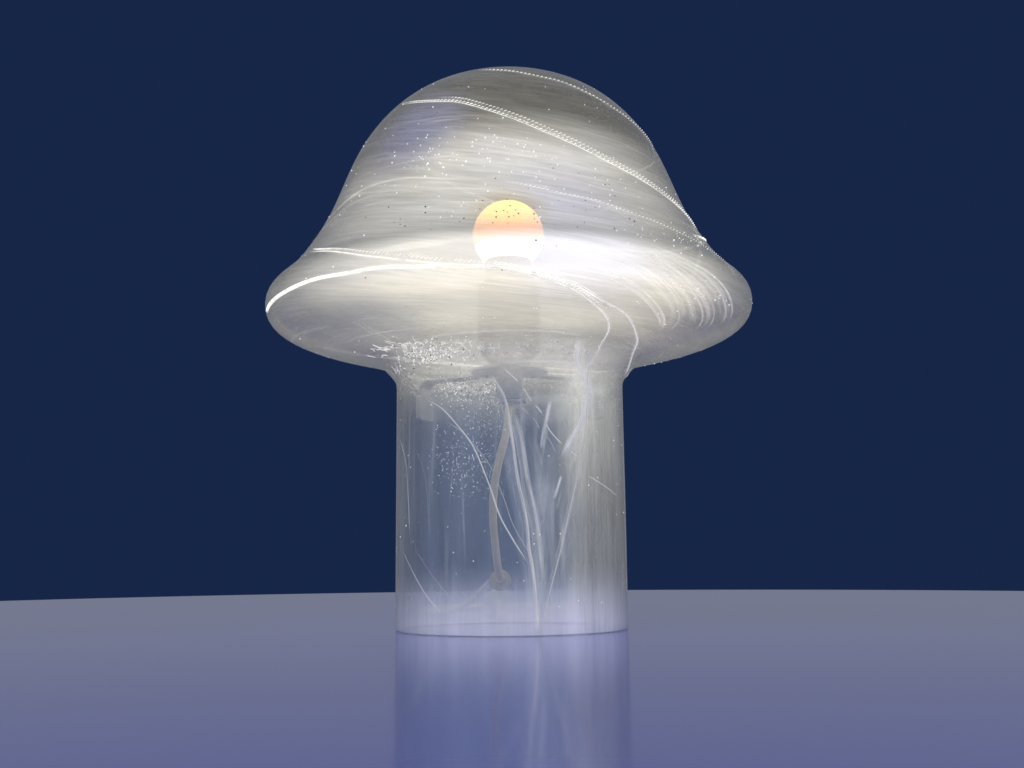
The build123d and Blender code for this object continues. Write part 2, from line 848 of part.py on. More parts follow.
in_switch = Pos(switch_place[0], switch_place[1], 0) * Rot(0, 0, 90)
parts["switch_base"] = in_switch * switch_base()
parts["switch_cover"] = in_switch * switch_cover()
parts["switch_screws"] = group(in_switch * switch_screw(side) for side in (-1, 1))
parts["switch_reliefs"] = group(in_switch * Rot(0, 0, turn) * relief() for turn in (0, 180))
parts["switch_contacts"] = group(in_switch * switch_contact(side) for side in (-1, 1))
parts["rocker_pin"] = in_switch * rocker_bore(rocker_pin_radius, window()[1] + 3.2)
parts["switch_rocker"] = in_switch * switch_rocker()
parts["rocker_bridge"] = in_switch * rocker_bridge()


# ---------------------------------------------------------------- plug
plug_axis = plug_thickness / 2
plug_start = plug_relief
plug_face = plug_relief + plug_length
in_plug = Pos(plug_place[0], plug_place[1], plug_axis) * Rot(-90, 0, 0)


def plug_pin(side):
    """Bare tip on a thinner shank, with its root inside the plug."""
    bare = plug_face + pin_sleeve_length
    end = plug_face + pin_length
    shape = turned([
        (0, plug_face - pin_root), (pin_core, plug_face - pin_root), (pin_core, bare),
        (pin_radius, bare), (pin_radius, end - 1.0), (pin_radius - 1.0, end), (0, end),
    ])
    return Pos(side * pin_spacing / 2, 0, 0) * shape


def pin_sleeve_ring(side):
    """Insulating sleeve on a pin, flush with its bare tip."""
    ring = tube(pin_radius, pin_core, plug_face, plug_face + pin_sleeve_length)
    return Pos(side * pin_spacing / 2, 0, 0) * ring


def plug_body():
    """Flat moulded plug, narrow at the lead and full width at its face."""
    half, neck = plug_width / 2, plug_neck / 2
    outline = Polyline(
        (-neck, plug_start), (-half, plug_start + plug_shoulder), (-half + 1.0, plug_face),
        (half - 1.0, plug_face), (half, plug_start + plug_shoulder), (neck, plug_start),
        close=True,
    )
    body = Rot(90, 0, 0) * extrude(make_face(outline), plug_thickness / 2, both=True)
    body = fillet(body.edges().filter_by(Axis.Y), plug_round)
    body = fillet(
        body.edges().group_by(Axis.Y)[0] + body.edges().group_by(Axis.Y)[-1], plug_round
    )
    return body - plug_pin(-1) - plug_pin(1)


def plug_strain_relief():
    """Tapered sleeve moulded on the lead behind the plug."""
    return turned([
        (0, 0), (plug_relief_tip, 0), (plug_relief_root, plug_relief), (0, plug_relief),
    ])


parts["plug_body"] = in_plug * plug_body()
parts["plug_relief"] = in_plug * plug_strain_relief()
parts["plug_pins"] = group(in_plug * plug_pin(side) for side in (-1, 1))
parts["plug_pin_sleeves"] = group(in_plug * pin_sleeve_ring(side) for side in (-1, 1))

for name, shape in parts.items():
    export_step(shape, f"parts/{name}.step")
print(len(parts), "parts written")
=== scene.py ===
# %% [markdown]
# # A mushroom table lamp in marbled blown glass
# The real lamp is one blown glass body: an open stem that flares into a wide cap. A small
# bracket springs against the inside of the stem and holds an ivory lampholder with a lit
# ball bulb, and a pale lead leaves through a bush low at the back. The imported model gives
# every size and place. This file gives the finishes, the glass with its milk, threads and
# bubbles, and the camera and lights. All lengths are in metres.

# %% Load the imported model
import math

import bmesh
import bpy
import numpy as np
from mathutils import Matrix, Vector
from mathutils.bvhtree import BVHTree


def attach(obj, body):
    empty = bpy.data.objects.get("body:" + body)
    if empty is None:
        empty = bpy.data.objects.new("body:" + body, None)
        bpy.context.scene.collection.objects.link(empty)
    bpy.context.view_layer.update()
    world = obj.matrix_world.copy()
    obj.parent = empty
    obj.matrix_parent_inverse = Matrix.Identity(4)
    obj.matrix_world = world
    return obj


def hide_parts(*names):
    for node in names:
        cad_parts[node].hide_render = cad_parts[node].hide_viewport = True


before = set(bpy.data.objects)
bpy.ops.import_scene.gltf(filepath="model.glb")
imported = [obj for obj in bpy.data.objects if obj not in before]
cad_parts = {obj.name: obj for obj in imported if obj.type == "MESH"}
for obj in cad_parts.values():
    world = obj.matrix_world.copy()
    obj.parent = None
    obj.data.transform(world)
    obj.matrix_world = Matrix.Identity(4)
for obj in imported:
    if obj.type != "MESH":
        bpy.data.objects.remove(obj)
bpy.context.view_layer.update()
scene = bpy.context.scene

# %% [markdown]
# ## The camera
# The photograph was taken low, 4 cm above the table, and looks up a little at the cap. A camera is
# made by its lens, its place and its turn. The lens is given in pixels of the photograph,
# because that is how it was measured, and is turned into millimetres of a 36 mm sensor. The
# same numbers send a sight line through any pixel, which later puts the glass's threads
# where they are seen.

# %% Camera
PHOTO_WIDTH, PHOTO_HEIGHT = 1024, 768
LENS_IN_PIXELS = 1117.0
SENSOR = 36.0
eye = Vector((0.0015, -0.687, 0.040))
LOOKS_UP, LEANS = math.radians(9.05), math.radians(-0.56)

lens = bpy.data.cameras.new("low_camera")
lens.sensor_width = SENSOR
lens.lens = SENSOR * LENS_IN_PIXELS / PHOTO_WIDTH
lens.clip_start, lens.clip_end = 0.01, 50.0
camera = bpy.data.objects.new("low_camera", lens)
scene.collection.objects.link(camera)
aim = Matrix.Rotation(math.radians(90) + LOOKS_UP, 4, "X") @ Matrix.Rotation(LEANS, 4, "Z")
camera.matrix_world = Matrix.Translation(eye) @ aim
scene.camera = camera
print("lens", round(lens.lens, 2), "mm")


def sight_line(column, row):
    """Direction of the sight line through a pixel of the photograph."""
    across = (column - PHOTO_WIDTH / 2) / LENS_IN_PIXELS
    up = (PHOTO_HEIGHT / 2 - row) / LENS_IN_PIXELS
    return (aim.to_3x3() @ Vector((across, up, -1.0))).normalized()


# %% [markdown]
# ## The lead
# A mains lead is a round flexible cord of fixed length, so it is drawn as one smooth line
# with a round section. A NURBS curve does that: it is pulled towards a few control points and
# never kinks. The photograph shows only the stretch inside the stem. The rest is put away
# behind the lamp: it leaves the bush, comes down to the table, swings round to the rocker
# switch and lies in a neat coil with its plug beside it. The curve's bevel is 1 and each
# point's radius is the cord's own, because a curve's box counts the radius of its points.

# %% One smooth cord
CORD_RADIUS = 0.0025
HOLE_HEIGHT, HOLE_TURN = 0.028, math.radians(6.5)
GRIP_MOUTH, BUSH_TIP = 0.164, 0.0956
SWITCH_MOUTH, PLUG_MOUTH, UPPER_LAYER = 0.008, 0.0068, 0.008


def behind(distance, height=HOLE_HEIGHT):
    """A point straight out from the lead's hole in the glass."""
    return (-distance * math.sin(HOLE_TURN), distance * math.cos(HOLE_TURN), height)


def cord_piece(name, points):
    """A round cord on a smooth spline through its control points."""
    curve = bpy.data.curves.new(name, "CURVE")
    curve.dimensions = "3D"
    curve.bevel_depth = 1.0
    curve.bevel_resolution = 6
    curve.resolution_u = 10
    curve.use_fill_caps = True
    spline = curve.splines.new("NURBS")
    spline.points.add(len(points) - 1)
    for knot, place in zip(spline.points, points):
        knot.co, knot.radius = (*place, 1.0), CORD_RADIUS
    spline.order_u = 3
    spline.use_endpoint_u = True
    piece = bpy.data.objects.new(name, curve)
    scene.collection.objects.link(piece)
    return piece


inner_route = [
    (0, 0, GRIP_MOUTH), (0, 0, 0.126), (-0.006, 0.002, 0.106), (-0.0105, 0.009, 0.087),
    (-0.0115, 0.019, 0.067), (-0.010, 0.030, 0.048), (-0.0085, 0.041, 0.034),
    behind(0.0553), behind(BUSH_TIP),
]
lead_route = [
    behind(BUSH_TIP), behind(BUSH_TIP + 0.020), (-0.020, 0.1355, 0.0215),
    (-0.030, 0.151, 0.0118), (-0.043, 0.166, 0.005), (-0.055, 0.184, CORD_RADIUS),
    (-0.064, 0.204, CORD_RADIUS), (-0.070, 0.224, CORD_RADIUS), (-0.072, 0.245, CORD_RADIUS),
    (-0.0705, 0.2645, CORD_RADIUS), (-0.0625, 0.279, CORD_RADIUS), (-0.0485, 0.2875, CORD_RADIUS),
    (-0.0323, 0.287, CORD_RADIUS), (-0.0182, 0.279, 0.004), (-0.010, 0.264, SWITCH_MOUTH),
    (-0.010, 0.246, SWITCH_MOUTH),
]
link_route = [
    (-0.010, 0.160, SWITCH_MOUTH), (-0.010, 0.149, SWITCH_MOUTH), (-0.008, 0.1345, CORD_RADIUS),
    (-0.008, 0.123, CORD_RADIUS),
]
tail_route = [
    (0.072, 0.123, UPPER_LAYER), (0.072, 0.136, UPPER_LAYER), (0.066, 0.153, PLUG_MOUTH),
    (0.066, 0.166, PLUG_MOUTH),
]

# %% [markdown]
# ## The coil
# Coiled by hand, a cord winds inwards on the table, steps up once and winds out again on top
# of itself. Its turns are more points of the same spline, worked out by a loop. The spline
# cuts inside its control points, so they stand a little further out than the cord.

# %% Turns of the coil
COIL_CENTRE = (0.032, 0.118)
COIL_RADIUS, COIL_PITCH, COIL_TUCK = 0.040, 0.0055, 0.0008
HALF_TURNS, POINTS_PER_HALF = 6, 7
stand_out = 2 / (1 + math.cos(math.pi / POINTS_PER_HALF))


def coil_points():
    """Control points: six half turns in, one up, and six out again on the upper layer."""
    reaches = [COIL_RADIUS - turn * COIL_PITCH / 2 for turn in range(HALF_TURNS + 1)]
    reaches[-1] -= COIL_TUCK
    reaches += reversed(reaches)
    points = []
    for step in range((len(reaches) - 1) * POINTS_PER_HALF + 1):
        turn, along = divmod(step / POINTS_PER_HALF, 1)
        turn = int(turn)
        last = reaches[min(turn + 1, len(reaches) - 1)]
        reach = (reaches[turn] + (last - reaches[turn]) * along) * stand_out
        climbed = min(max(step / POINTS_PER_HALF - HALF_TURNS, 0.0), 1.0)
        angle = math.pi * (1 + step / POINTS_PER_HALF)
        points.append((
            COIL_CENTRE[0] + reach * math.cos(angle),
            COIL_CENTRE[1] + reach * math.sin(angle),
            CORD_RADIUS + COIL_PITCH * climbed,
        ))
    return points


inner_cord = cord_piece("inner_lead", inner_route)
mains_lead = cord_piece("mains_lead", lead_route)
coiled_lead = cord_piece("coiled_lead", link_route + coil_points() + tail_route)
for piece, node_names in (
    (inner_cord, ["inner_cord"]),
    (mains_lead, ["cord_lead"]),
    (coiled_lead, ["cord_link", "cord_coil", "cord_tail"]),
):
    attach(piece, "root")
    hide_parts(*node_names)
print("coil has", len(coil_points()), "points")

# %% [markdown]
# ## Writing finishes as plain expressions
# A finish is a tree of shader nodes. Building it socket by socket hides the idea behind it, so
# one small class wraps a socket and lets Python's operators add the Math nodes. Anything else
# goes through one method that takes a node's type, its settings and what its sockets get.

# %% Sockets that can be added and multiplied
class Wire:
    """A value or colour socket of a finish that Python's operators work on."""

    def __init__(self, finish, socket):
        self.finish, self.socket = finish, socket

    def maths(self, operation, first, second):
        return self.finish.add("Math", {"operation": operation}, {0: first, 1: second})

    def __add__(self, other):
        return self.maths("ADD", self, other)

    def __radd__(self, other):
        return self.maths("ADD", other, self)

    def __sub__(self, other):
        return self.maths("SUBTRACT", self, other)

    def __rsub__(self, other):
        return self.maths("SUBTRACT", other, self)

    def __mul__(self, other):
        return self.maths("MULTIPLY", self, other)

    def __rmul__(self, other):
        return self.maths("MULTIPLY", other, self)

    def __pow__(self, other):
        return self.maths("POWER", self, other)

    def between(self, low, high):
        """0 at low, 1 at high, smooth between them and held beyond them."""
        return self.finish.add(
            "MapRange", {"interpolation_type": "SMOOTHSTEP"},
            {"Value": self, "From Min": low, "From Max": high},
        )

    def held(self):
        """The value held between 0 and 1."""
        return self.finish.add("Clamp", {}, {0: self})


class Finish:
    """One material, built node by node."""

    def __init__(self, name):
        self.material = bpy.data.materials.new(name)
        self.material.use_nodes = True
        self.tree = self.material.node_tree
        self.tree.nodes.clear()

    def add(self, kind, settings=None, sockets=None, out=0):
        """A node of a kind, its settings first, then its sockets' values or links."""
        node = self.tree.nodes.new("ShaderNode" + kind)
        for key, value in (settings or {}).items():
            setattr(node, key, value)
        for key, value in (sockets or {}).items():
            if isinstance(value, Wire):
                self.tree.links.new(value.socket, node.inputs[key])
            else:
                node.inputs[key].default_value = value
        return Wire(self, node.outputs[out])

    def blend(self, share, first, second):
        """A colour between two others."""
        sockets = {"Factor": share}
        for key, colour in ((6, first), (7, second)):
            sockets[key] = colour if isinstance(colour, Wire) else (*colour, 1.0)
        return self.add("Mix", {"data_type": "RGBA"}, sockets, out=2)

    def here(self):
        """The place on the piece, in metres."""
        return self.add("TexCoord", out="Object")

    def height(self):
        """How high a place on the piece is, in metres."""
        return self.add("SeparateXYZ", {}, {0: self.here()}, out=2)

    def edge_on(self):
        """0 where the surface is looked at squarely, 1 where it is seen edge on."""
        return self.add("LayerWeight", {}, {"Blend": 0.5}, out=1)

    def noise(self, scale, detail=3.0, roughness=0.5, place=None):
        """Cloudy values from 0 to 1 about a size of 1 / scale metres."""
        return self.add("TexNoise", {}, {
            "Vector": place or self.here(), "Scale": scale, "Detail": detail,
            "Roughness": roughness,
        })

    def bump(self, height, strength, depth):
        return self.add(
            "Bump", {}, {"Height": height, "Strength": strength, "Distance": depth}
        )

    def shows(self, shader):
        """Sends a shader to the surface and gives back the material."""
        output = self.tree.nodes.new("ShaderNodeOutputMaterial")
        self.tree.links.new(shader.socket, output.inputs["Surface"])
        return self.material


# %% [markdown]
# ## Plastics, metals and rubber
# Moulded plastic is never one flat colour: it has faint clouds, a fine skin that breaks up its
# gloss, and slightly duller patches where hands touch it. Metals are their own colour with
# a fine turned or brushed grain. Both are one shader each with noise at two sizes.

# %% Moulded plastic
GRAIN_DEPTH = 0.0002


def plastic(name, colour, gloss=0.3, grain=2500.0, clouds=0.05):
    finish = Finish(name)
    patches = finish.noise(55.0, 3.0)
    fine = finish.noise(grain, 2.0)
    darker = tuple(channel * (1 - 3 * clouds) for channel in colour)
    shade = finish.blend(patches.between(0.3, 0.75), colour, darker)
    return finish.shows(finish.add("BsdfPrincipled", {}, {
        "Base Color": shade, "Roughness": (gloss + (patches - 0.5) * 0.18 + fine * 0.06).held(),
        "Specular IOR Level": 0.5,
        "Normal": finish.bump(fine, 0.08, GRAIN_DEPTH),
    }))


# %% Metals
def metal(name, colour, roughness=0.3, grain_across=3000.0, grain_along=60.0):
    """Metal with a fine grain that runs round the lamp's axis."""
    finish = Finish(name)
    stretched = finish.add(
        "VectorMath", {"operation": "MULTIPLY"},
        {0: finish.here(), 1: (grain_along, grain_along, grain_across)},
    )
    grain = finish.noise(1.0, 3.0, place=stretched)
    tarnish = finish.noise(120.0, 4.0)
    dull = tuple(channel * 0.72 for channel in colour)
    shade = finish.blend(tarnish.between(0.45, 0.8), colour, dull)
    return finish.shows(finish.add("BsdfPrincipled", {}, {
        "Base Color": shade, "Metallic": 1.0,
        "Roughness": (roughness + tarnish * 0.14 + grain * 0.1).held(),
        "Normal": finish.bump(grain, 0.12, GRAIN_DEPTH / 2),
    }))


# %% [markdown]
# ## The lead's sheath
# The lead is pale and slightly golden, a soft extruded sheath. Extrusion leaves fine lines
# along the cord and handling leaves duller patches, so the clouds are broad and the gloss
# uneven. It gives off a little light, in place of the glow that scatters down the stem.

# %% Sheath
def sheath():
    finish = Finish("lead_sheath")
    patches = finish.noise(70.0, 4.0)
    fine = finish.noise(1800.0, 2.0)
    shade = finish.blend(patches.between(0.35, 0.7), (0.86, 0.76, 0.58), (0.76, 0.65, 0.48))
    return finish.shows(finish.add("BsdfPrincipled", {}, {
        "Base Color": shade, "Roughness": (0.36 + patches * 0.2).held(),
        "Emission Color": shade, "Emission Strength": 0.10,
        "Normal": finish.bump(fine, 0.06, GRAIN_DEPTH),
    }))


# %% [markdown]
# ## Giving each node its finish
# The nodes whose shape is right stay as they were packed and only change their finish. One
# table says which finish each takes.

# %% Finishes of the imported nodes
IVORY, WARM_WHITE = (0.83, 0.79, 0.68), (0.86, 0.85, 0.80)
finishes = {
    "ivory": plastic("ivory_moulding", IVORY, gloss=0.28),
    "white": plastic("white_moulding", WARM_WHITE, gloss=0.22),
    "core": plastic("insulating_core", (0.80, 0.78, 0.72), gloss=0.55, clouds=0.07),
    "bush": plastic("bush_rubber", (0.86, 0.78, 0.62), gloss=0.5, grain=1400.0),
    "sleeve": plastic("leaf_sleeve", (0.80, 0.81, 0.78), gloss=0.4),
    "black": plastic("black_insulator", (0.02, 0.02, 0.022), gloss=0.15),
    "board": plastic("white_board", (0.80, 0.82, 0.78), gloss=0.4),
    "driver": plastic("green_board", (0.04, 0.16, 0.06), gloss=0.35),
    "phosphor": plastic("phosphor", (0.85, 0.62, 0.16), gloss=0.5),
    "brown": plastic("core_sheath", (0.16, 0.07, 0.03), gloss=0.35),
    "enamel": plastic("white_enamel", (0.88, 0.87, 0.82), gloss=0.25, clouds=0.03),
    "leaf": metal("spring_steel", (0.76, 0.77, 0.76), 0.40, grain_across=80.0),
    "zinc": metal("zinc_plate", (0.68, 0.68, 0.66), 0.34),
    "aluminium": metal("rolled_aluminium", (0.78, 0.78, 0.77), 0.3),
    "brass": metal("turned_brass", (0.66, 0.47, 0.18), 0.26),
    "lead": sheath(),
}
finish_of = {
    "ivory": ["switch_base", "switch_cover", "switch_reliefs", "plug_body", "plug_relief"],
    "white": ["holder_cap", "holder_shell", "cord_grip", "switch_rocker", "bulb_housing"],
    "core": ["holder_insert", "plug_pin_sleeves"],
    "bush": ["cord_grommet"],
    "sleeve": ["arm_tip_1", "arm_tip_2", "arm_tip_3"],
    "black": ["bulb_insulator"],
    "board": ["led_board"],
    "driver": ["driver_board"],
    "phosphor": ["led_chips"],
    "brown": ["core_wires"],
    "enamel": ["bracket_hub", "arm_roots"],
    "leaf": ["spring_arm_1", "spring_arm_2", "spring_arm_3"],
    "zinc": ["arm_rivets", "lock_washer", "lock_nut", "cord_grip_screw", "switch_screws"],
    "aluminium": ["bulb_cap", "bulb_contact"],
    "brass": [
        "threaded_nipple", "thread_sleeve", "centre_contact", "side_contact",
        "terminal_blocks", "terminal_screws", "switch_contacts", "rocker_pin",
        "rocker_bridge", "plug_pins",
    ],
}
for finish_name, node_names in finish_of.items():
    for node_name in node_names:
        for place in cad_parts[node_name].material_slots:
            place.material = finishes[finish_name]
for piece in (inner_cord, mains_lead, coiled_lead):
    piece.data.materials.append(finishes["lead"])
print(sum(map(len, finish_of.values())), "nodes have their finish")

# %% [markdown]
# ## The glass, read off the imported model
# The blown wall is a turned shape, so its whole form is in one outline. The outline is read
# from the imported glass, along the line where its turned surface begins and ends, once for
# the outer skin and once for the hollow. Blown glass has no sharp corner, so the outline is
# softened by a few millimetres before it is turned again with finer steps.

# %% Outline of the wall
SOFTENING, CROWN_SOFTENING, FINE_STEP = 0.0026, 0.009, 0.0005
CROWN_FROM, CROWN_TO = 0.225, 0.275


def packed_outline(outward):
    """(radius, height) from foot to crown along the skin (1) or the hollow (-1)."""
    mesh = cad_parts["glass_body"].data
    spots = np.empty(3 * len(mesh.vertices))
    mesh.vertices.foreach_get("co", spots)
    spots = spots.reshape(-1, 3)
    on_seam = (abs(spots[:, 1]) < 1e-6) & (spots[:, 0] > -1e-6)
    chosen = {
        corner for face in mesh.polygons
        if face.normal.x * outward > 1e-4 and face.center.x > 0
        for corner in face.vertices if on_seam[corner]
    }
    places = np.unique(spots[sorted(chosen)][:, [2, 0]].round(6), axis=0)
    return places[:, ::-1]


def along(points):
    """Distance from the first point to each point of a line."""
    return np.r_[0, np.cumsum(np.linalg.norm(np.diff(points, axis=0), axis=1))]


def softened(points, softening=SOFTENING):
    """The outline at even fine steps, its corners rounded by a bell-shaped average."""
    reach = along(points)
    steps = np.arange(0, reach[-1], FINE_STEP)
    fine = np.column_stack([np.interp(steps, reach, points[:, axis]) for axis in (0, 1)])
    fine = np.vstack([fine, points[-1]])
    pad = int(4 * softening / FINE_STEP)
    foot = np.column_stack([
        np.full(pad, fine[0, 0]), fine[0, 1] - FINE_STEP * np.arange(pad, 0, -1)
    ])
    crown = fine[-2:-2 - pad:-1] * (-1, 1)
    whole = np.vstack([foot, fine, crown])
    bell = np.exp(-0.5 * (np.arange(-pad, pad + 1) * FINE_STEP / softening) ** 2)
    bell /= bell.sum()
    round_off = np.column_stack([np.convolve(whole[:, axis], bell, "valid") for axis in (0, 1)])
    round_off[0] = fine[0]
    round_off[-1, 0] = 0.0
    return round_off


def blown(points):
    """The outline with a wide softening at the crown, where the bubble of glass was round."""
    close, wide = softened(points), softened(points, CROWN_SOFTENING)
    share = np.interp(close[:, 1], [CROWN_FROM, CROWN_TO], [0.0, 1.0])[:, None]
    return close * (1 - share) + wide * share


skin, hollow = blown(packed_outline(1)), blown(packed_outline(-1))
skin_reach = along(skin)
print("outline", round(skin_reach[-1], 3), "m long, widest", round(skin[:, 0].max(), 4))

# %% [markdown]
# ## Places on the skin
# Everything in the glass is placed by two numbers: the turn round the lamp, with 0 at the
# front and growing to the right, and the arc up the outline from the foot. A helper turns
# these into points at any depth under the skin, and another sends a sight line through a pixel
# to find where it meets the skin.

# %% From turn and arc to a point, and back
slopes = np.gradient(skin, axis=0)
slopes /= np.linalg.norm(slopes, axis=1)[:, None]


def on_skin(turn, arc, depth=0.0):
    """Points under the skin, for arrays of turn, arc and depth."""
    radius, height = (np.interp(arc, skin_reach, skin[:, axis]) for axis in (0, 1))
    lean, rise = (np.interp(arc, skin_reach, slopes[:, axis]) for axis in (0, 1))
    radius = radius - depth * rise
    height = height + depth * lean
    return np.column_stack([radius * np.sin(turn), -radius * np.cos(turn), height])


TREE_TURNS = 180
tree_arcs = np.linspace(0, skin_reach[-1], 260)
tree_points = np.vstack([
    on_skin(np.full(len(tree_arcs), 2 * math.pi * k / TREE_TURNS), tree_arcs)
    for k in range(TREE_TURNS)
])
tree_faces = [
    (
        k * len(tree_arcs) + j, (k + 1) % TREE_TURNS * len(tree_arcs) + j,
        (k + 1) % TREE_TURNS * len(tree_arcs) + j + 1, k * len(tree_arcs) + j + 1,
    )
    for k in range(TREE_TURNS) for j in range(len(tree_arcs) - 1)
]
skin_tree = BVHTree.FromPolygons([Vector(spot) for spot in tree_points], tree_faces)


def turn_and_arc(spot):
    """The turn and arc of a point on the skin."""
    away = np.hypot(skin[:, 0] - math.hypot(spot.x, spot.y), skin[:, 1] - spot.z)
    return math.atan2(spot.x, -spot.y), skin_reach[away.argmin()]


def traced(pixels):
    """Turns and arcs where the sight lines through pixels meet the front of the glass."""
    met = [skin_tree.ray_cast(eye, sight_line(*pixel))[0] for pixel in pixels]
    return np.array([turn_and_arc(spot) for spot in met if spot is not None])


def flowing(places, step=0.0012):
    """A smooth line through a few turns and arcs, as points a step apart."""
    ends = np.vstack([2 * places[0] - places[1], places, 2 * places[-1] - places[-2]])
    line = []
    for before, first, last, after in zip(ends, ends[1:], ends[2:], ends[3:]):
        for share in np.linspace(0, 1, 24, endpoint=False):
            line.append(0.5 * (
                2 * first + (last - before) * share
                + (2 * before - 5 * first + 4 * last - after) * share ** 2
                + (3 * first - before - 3 * last + after) * share ** 3
            ))
    line = np.array(line + [places[-1]])
    reach = along(on_skin(line[:, 0], line[:, 1]))
    even = np.linspace(0, reach[-1], max(4, int(reach[-1] / step)))
    return np.column_stack([np.interp(even, reach, line[:, axis]) for axis in (0, 1)])


# %% [markdown]
# ## Turning the wall
# The wall is a closed mesh with both its faces, because a single sheet has no thickness to
# show at the foot and no volume. Rows of points run up the skin, and down the hollow, and
# a rounded rim joins them. At the back low down, the faces where the bush passes are taken out
# and the edge is drawn onto a circle.

# %% The blown wall
COLUMNS, STEM_ROWS, SKIN_ROWS, HOLLOW_ROWS = 340, 48, 120, 60
RIM_ROUND, HOLE_RADIUS, EVEN_STEM = 0.0012, 0.005, 0.146


def rows_of(outline, rows):
    """Outline points of even rows: at the same arcs for both sides up the stem."""
    reach = along(outline)
    low = np.linspace(RIM_ROUND, EVEN_STEM, STEM_ROWS)
    arcs = np.r_[low, np.linspace(EVEN_STEM, reach[-1], rows + 1)[1:]]
    return np.column_stack([np.interp(arcs, reach, outline[:, axis]) for axis in (0, 1)])


def rim_points():
    """Fire-rounded foot between the skin and the hollow."""
    leans = np.radians([30, 60, 90])
    inset, low = RIM_ROUND * (1 - np.cos(leans)), RIM_ROUND * (1 - np.sin(leans))
    outside = np.column_stack([skin[0, 0] - inset, low])
    inside = np.column_stack([hollow[0, 0] + inset, low])
    return np.vstack([outside, inside[::-1]])


skin_rows, hollow_rows = rows_of(skin, SKIN_ROWS), rows_of(hollow, HOLLOW_ROWS)
rim = rim_points()
section = np.vstack([skin_rows[::-1], rim, hollow_rows])
turns = 2 * math.pi * np.arange(COLUMNS) / COLUMNS
wall_places = np.stack([
    np.outer(section[:, 0], np.sin(turns)), np.outer(section[:, 0], -np.cos(turns)),
    np.repeat(section[:, 1:], COLUMNS, axis=1),
], axis=2)
foot_row = len(skin_rows) - 1


def across_wall(row):
    """The hollow's row behind a row of the skin's stem."""
    return 2 * foot_row + len(rim) + 1 - row


def cut_hole():
    """Faces left out where the bush passes, and new ones through the wall, the edge made round."""
    facing = math.atan2(behind(1)[0], -behind(1)[1])
    aside = section[foot_row, 0] * ((turns - facing + math.pi) % (2 * math.pi) - math.pi)
    stem = range(foot_row - STEM_ROWS + 2, foot_row)
    near = {
        (row, column) for row in stem for column in range(COLUMNS)
        if math.hypot(aside[column], section[row, 1] - HOLE_HEIGHT) < HOLE_RADIUS
    }
    gone = {
        (row - down, (column - left) % COLUMNS)
        for row, column in near for down in (0, 1) for left in (0, 1)
    }
    through, edge = [], set()
    for row, column in gone:
        right = (column + 1) % COLUMNS
        for beside, ends in (
            ((row - 1, column), [(row, column), (row, right)]),
            ((row + 1, column), [(row + 1, right), (row + 1, column)]),
            ((row, (column - 1) % COLUMNS), [(row + 1, column), (row, column)]),
            ((row, right), [(row, right), (row + 1, right)]),
        ):
            if beside not in gone:
                first, last = ends
                through.append([first, last, (across_wall(last[0]), last[1]),
                                (across_wall(first[0]), first[1])])
                edge.update(ends)
    for row, column in edge:
        up = section[row, 1] - HOLE_HEIGHT
        lean = math.atan2(up, aside[column])
        turn = facing + HOLE_RADIUS * math.cos(lean) / section[row, 0]
        for level in (row, across_wall(row)):
            radius = section[level, 0]
            wall_places[level, column] = (
                radius * math.sin(turn), -radius * math.cos(turn),
                HOLE_HEIGHT + HOLE_RADIUS * math.sin(lean),
            )
    gone |= {(across_wall(row) - 1, column) for row, column in gone}
    return gone, through


def blown_wall():
    """Faces of the closed wall and which side each is on: 0 for the skin, 1 for the hollow."""
    gone, through = cut_hole()
    last = len(section) - 1
    faces, sides = [], []
    for row in range(1, last - 1):
        for column in range(COLUMNS):
            if (row, column) in gone:
                continue
            right = (column + 1) % COLUMNS
            faces.append([(row, column), (row, right), (row + 1, right), (row + 1, column)])
            sides.append(int(row > foot_row))
    for column in range(COLUMNS):
        right = (column + 1) % COLUMNS
        faces += [[(0, 0), (1, right), (1, column)], [(last, 0), (last - 1, column), (last - 1, right)]]
        sides += [0, 1]
    faces += through
    sides += [0] * len(through)
    return [[row * COLUMNS + column for row, column in face] for face in faces], sides


def piece_from(name, points, faces, slot_name, *replaced, orient=True):
    """A smooth mesh piece that rides on the lamp's fixed body."""
    mesh = bpy.data.meshes.new(name)
    mesh.from_pydata([tuple(point) for point in points], [], faces)
    if orient:
        tidy = bmesh.new()
        tidy.from_mesh(mesh)
        loose = [corner for corner in tidy.verts if not corner.link_faces]
        bmesh.ops.delete(tidy, geom=loose, context="VERTS")
        bmesh.ops.recalc_face_normals(tidy, faces=tidy.faces)
        tidy.to_mesh(mesh)
        tidy.free()
    for face in mesh.polygons:
        face.use_smooth = True
    piece = bpy.data.objects.new(name, mesh)
    scene.collection.objects.link(piece)
    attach(piece, "root")
    if replaced:
        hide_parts(*replaced)
    return piece


wall_faces, wall_sides = blown_wall()
glass = piece_from("blown_glass", wall_places.reshape(-1, 3), wall_faces, "glass", "glass_body")
for face, side in zip(glass.data.polygons, wall_sides):
    face.material_index = side
print("the wall has", len(glass.data.polygons), "faces")

# %% [markdown]
# ## How the glass flowed
# The gather was turned as it was blown, so its milk lies in long thin streaks: round the cap,
# tilted a little down to the right, and up and down in the stem. A vector stored on each
# point follows that flow. It changes slowly along a streak and fast across it, so any noise
# that is read through it comes out drawn into streaks.

# %% Flow of the streaks
STEM_FLOW, CAP_FLOW = 0.128, 0.190
TILT, ALONG_STREAK, WAVE = 0.16, 0.08, 0.006
CAP_WIDE, STEM_WIDER = 0.007, 0.063
flow_steps = np.linspace(0, skin_reach[-1], 800)
in_stem_steps = 1 - np.clip((flow_steps - STEM_FLOW) / (CAP_FLOW - STEM_FLOW), 0, 1)
across_steps = np.cumsum((1 - in_stem_steps) + ALONG_STREAK * in_stem_steps) * flow_steps[1]


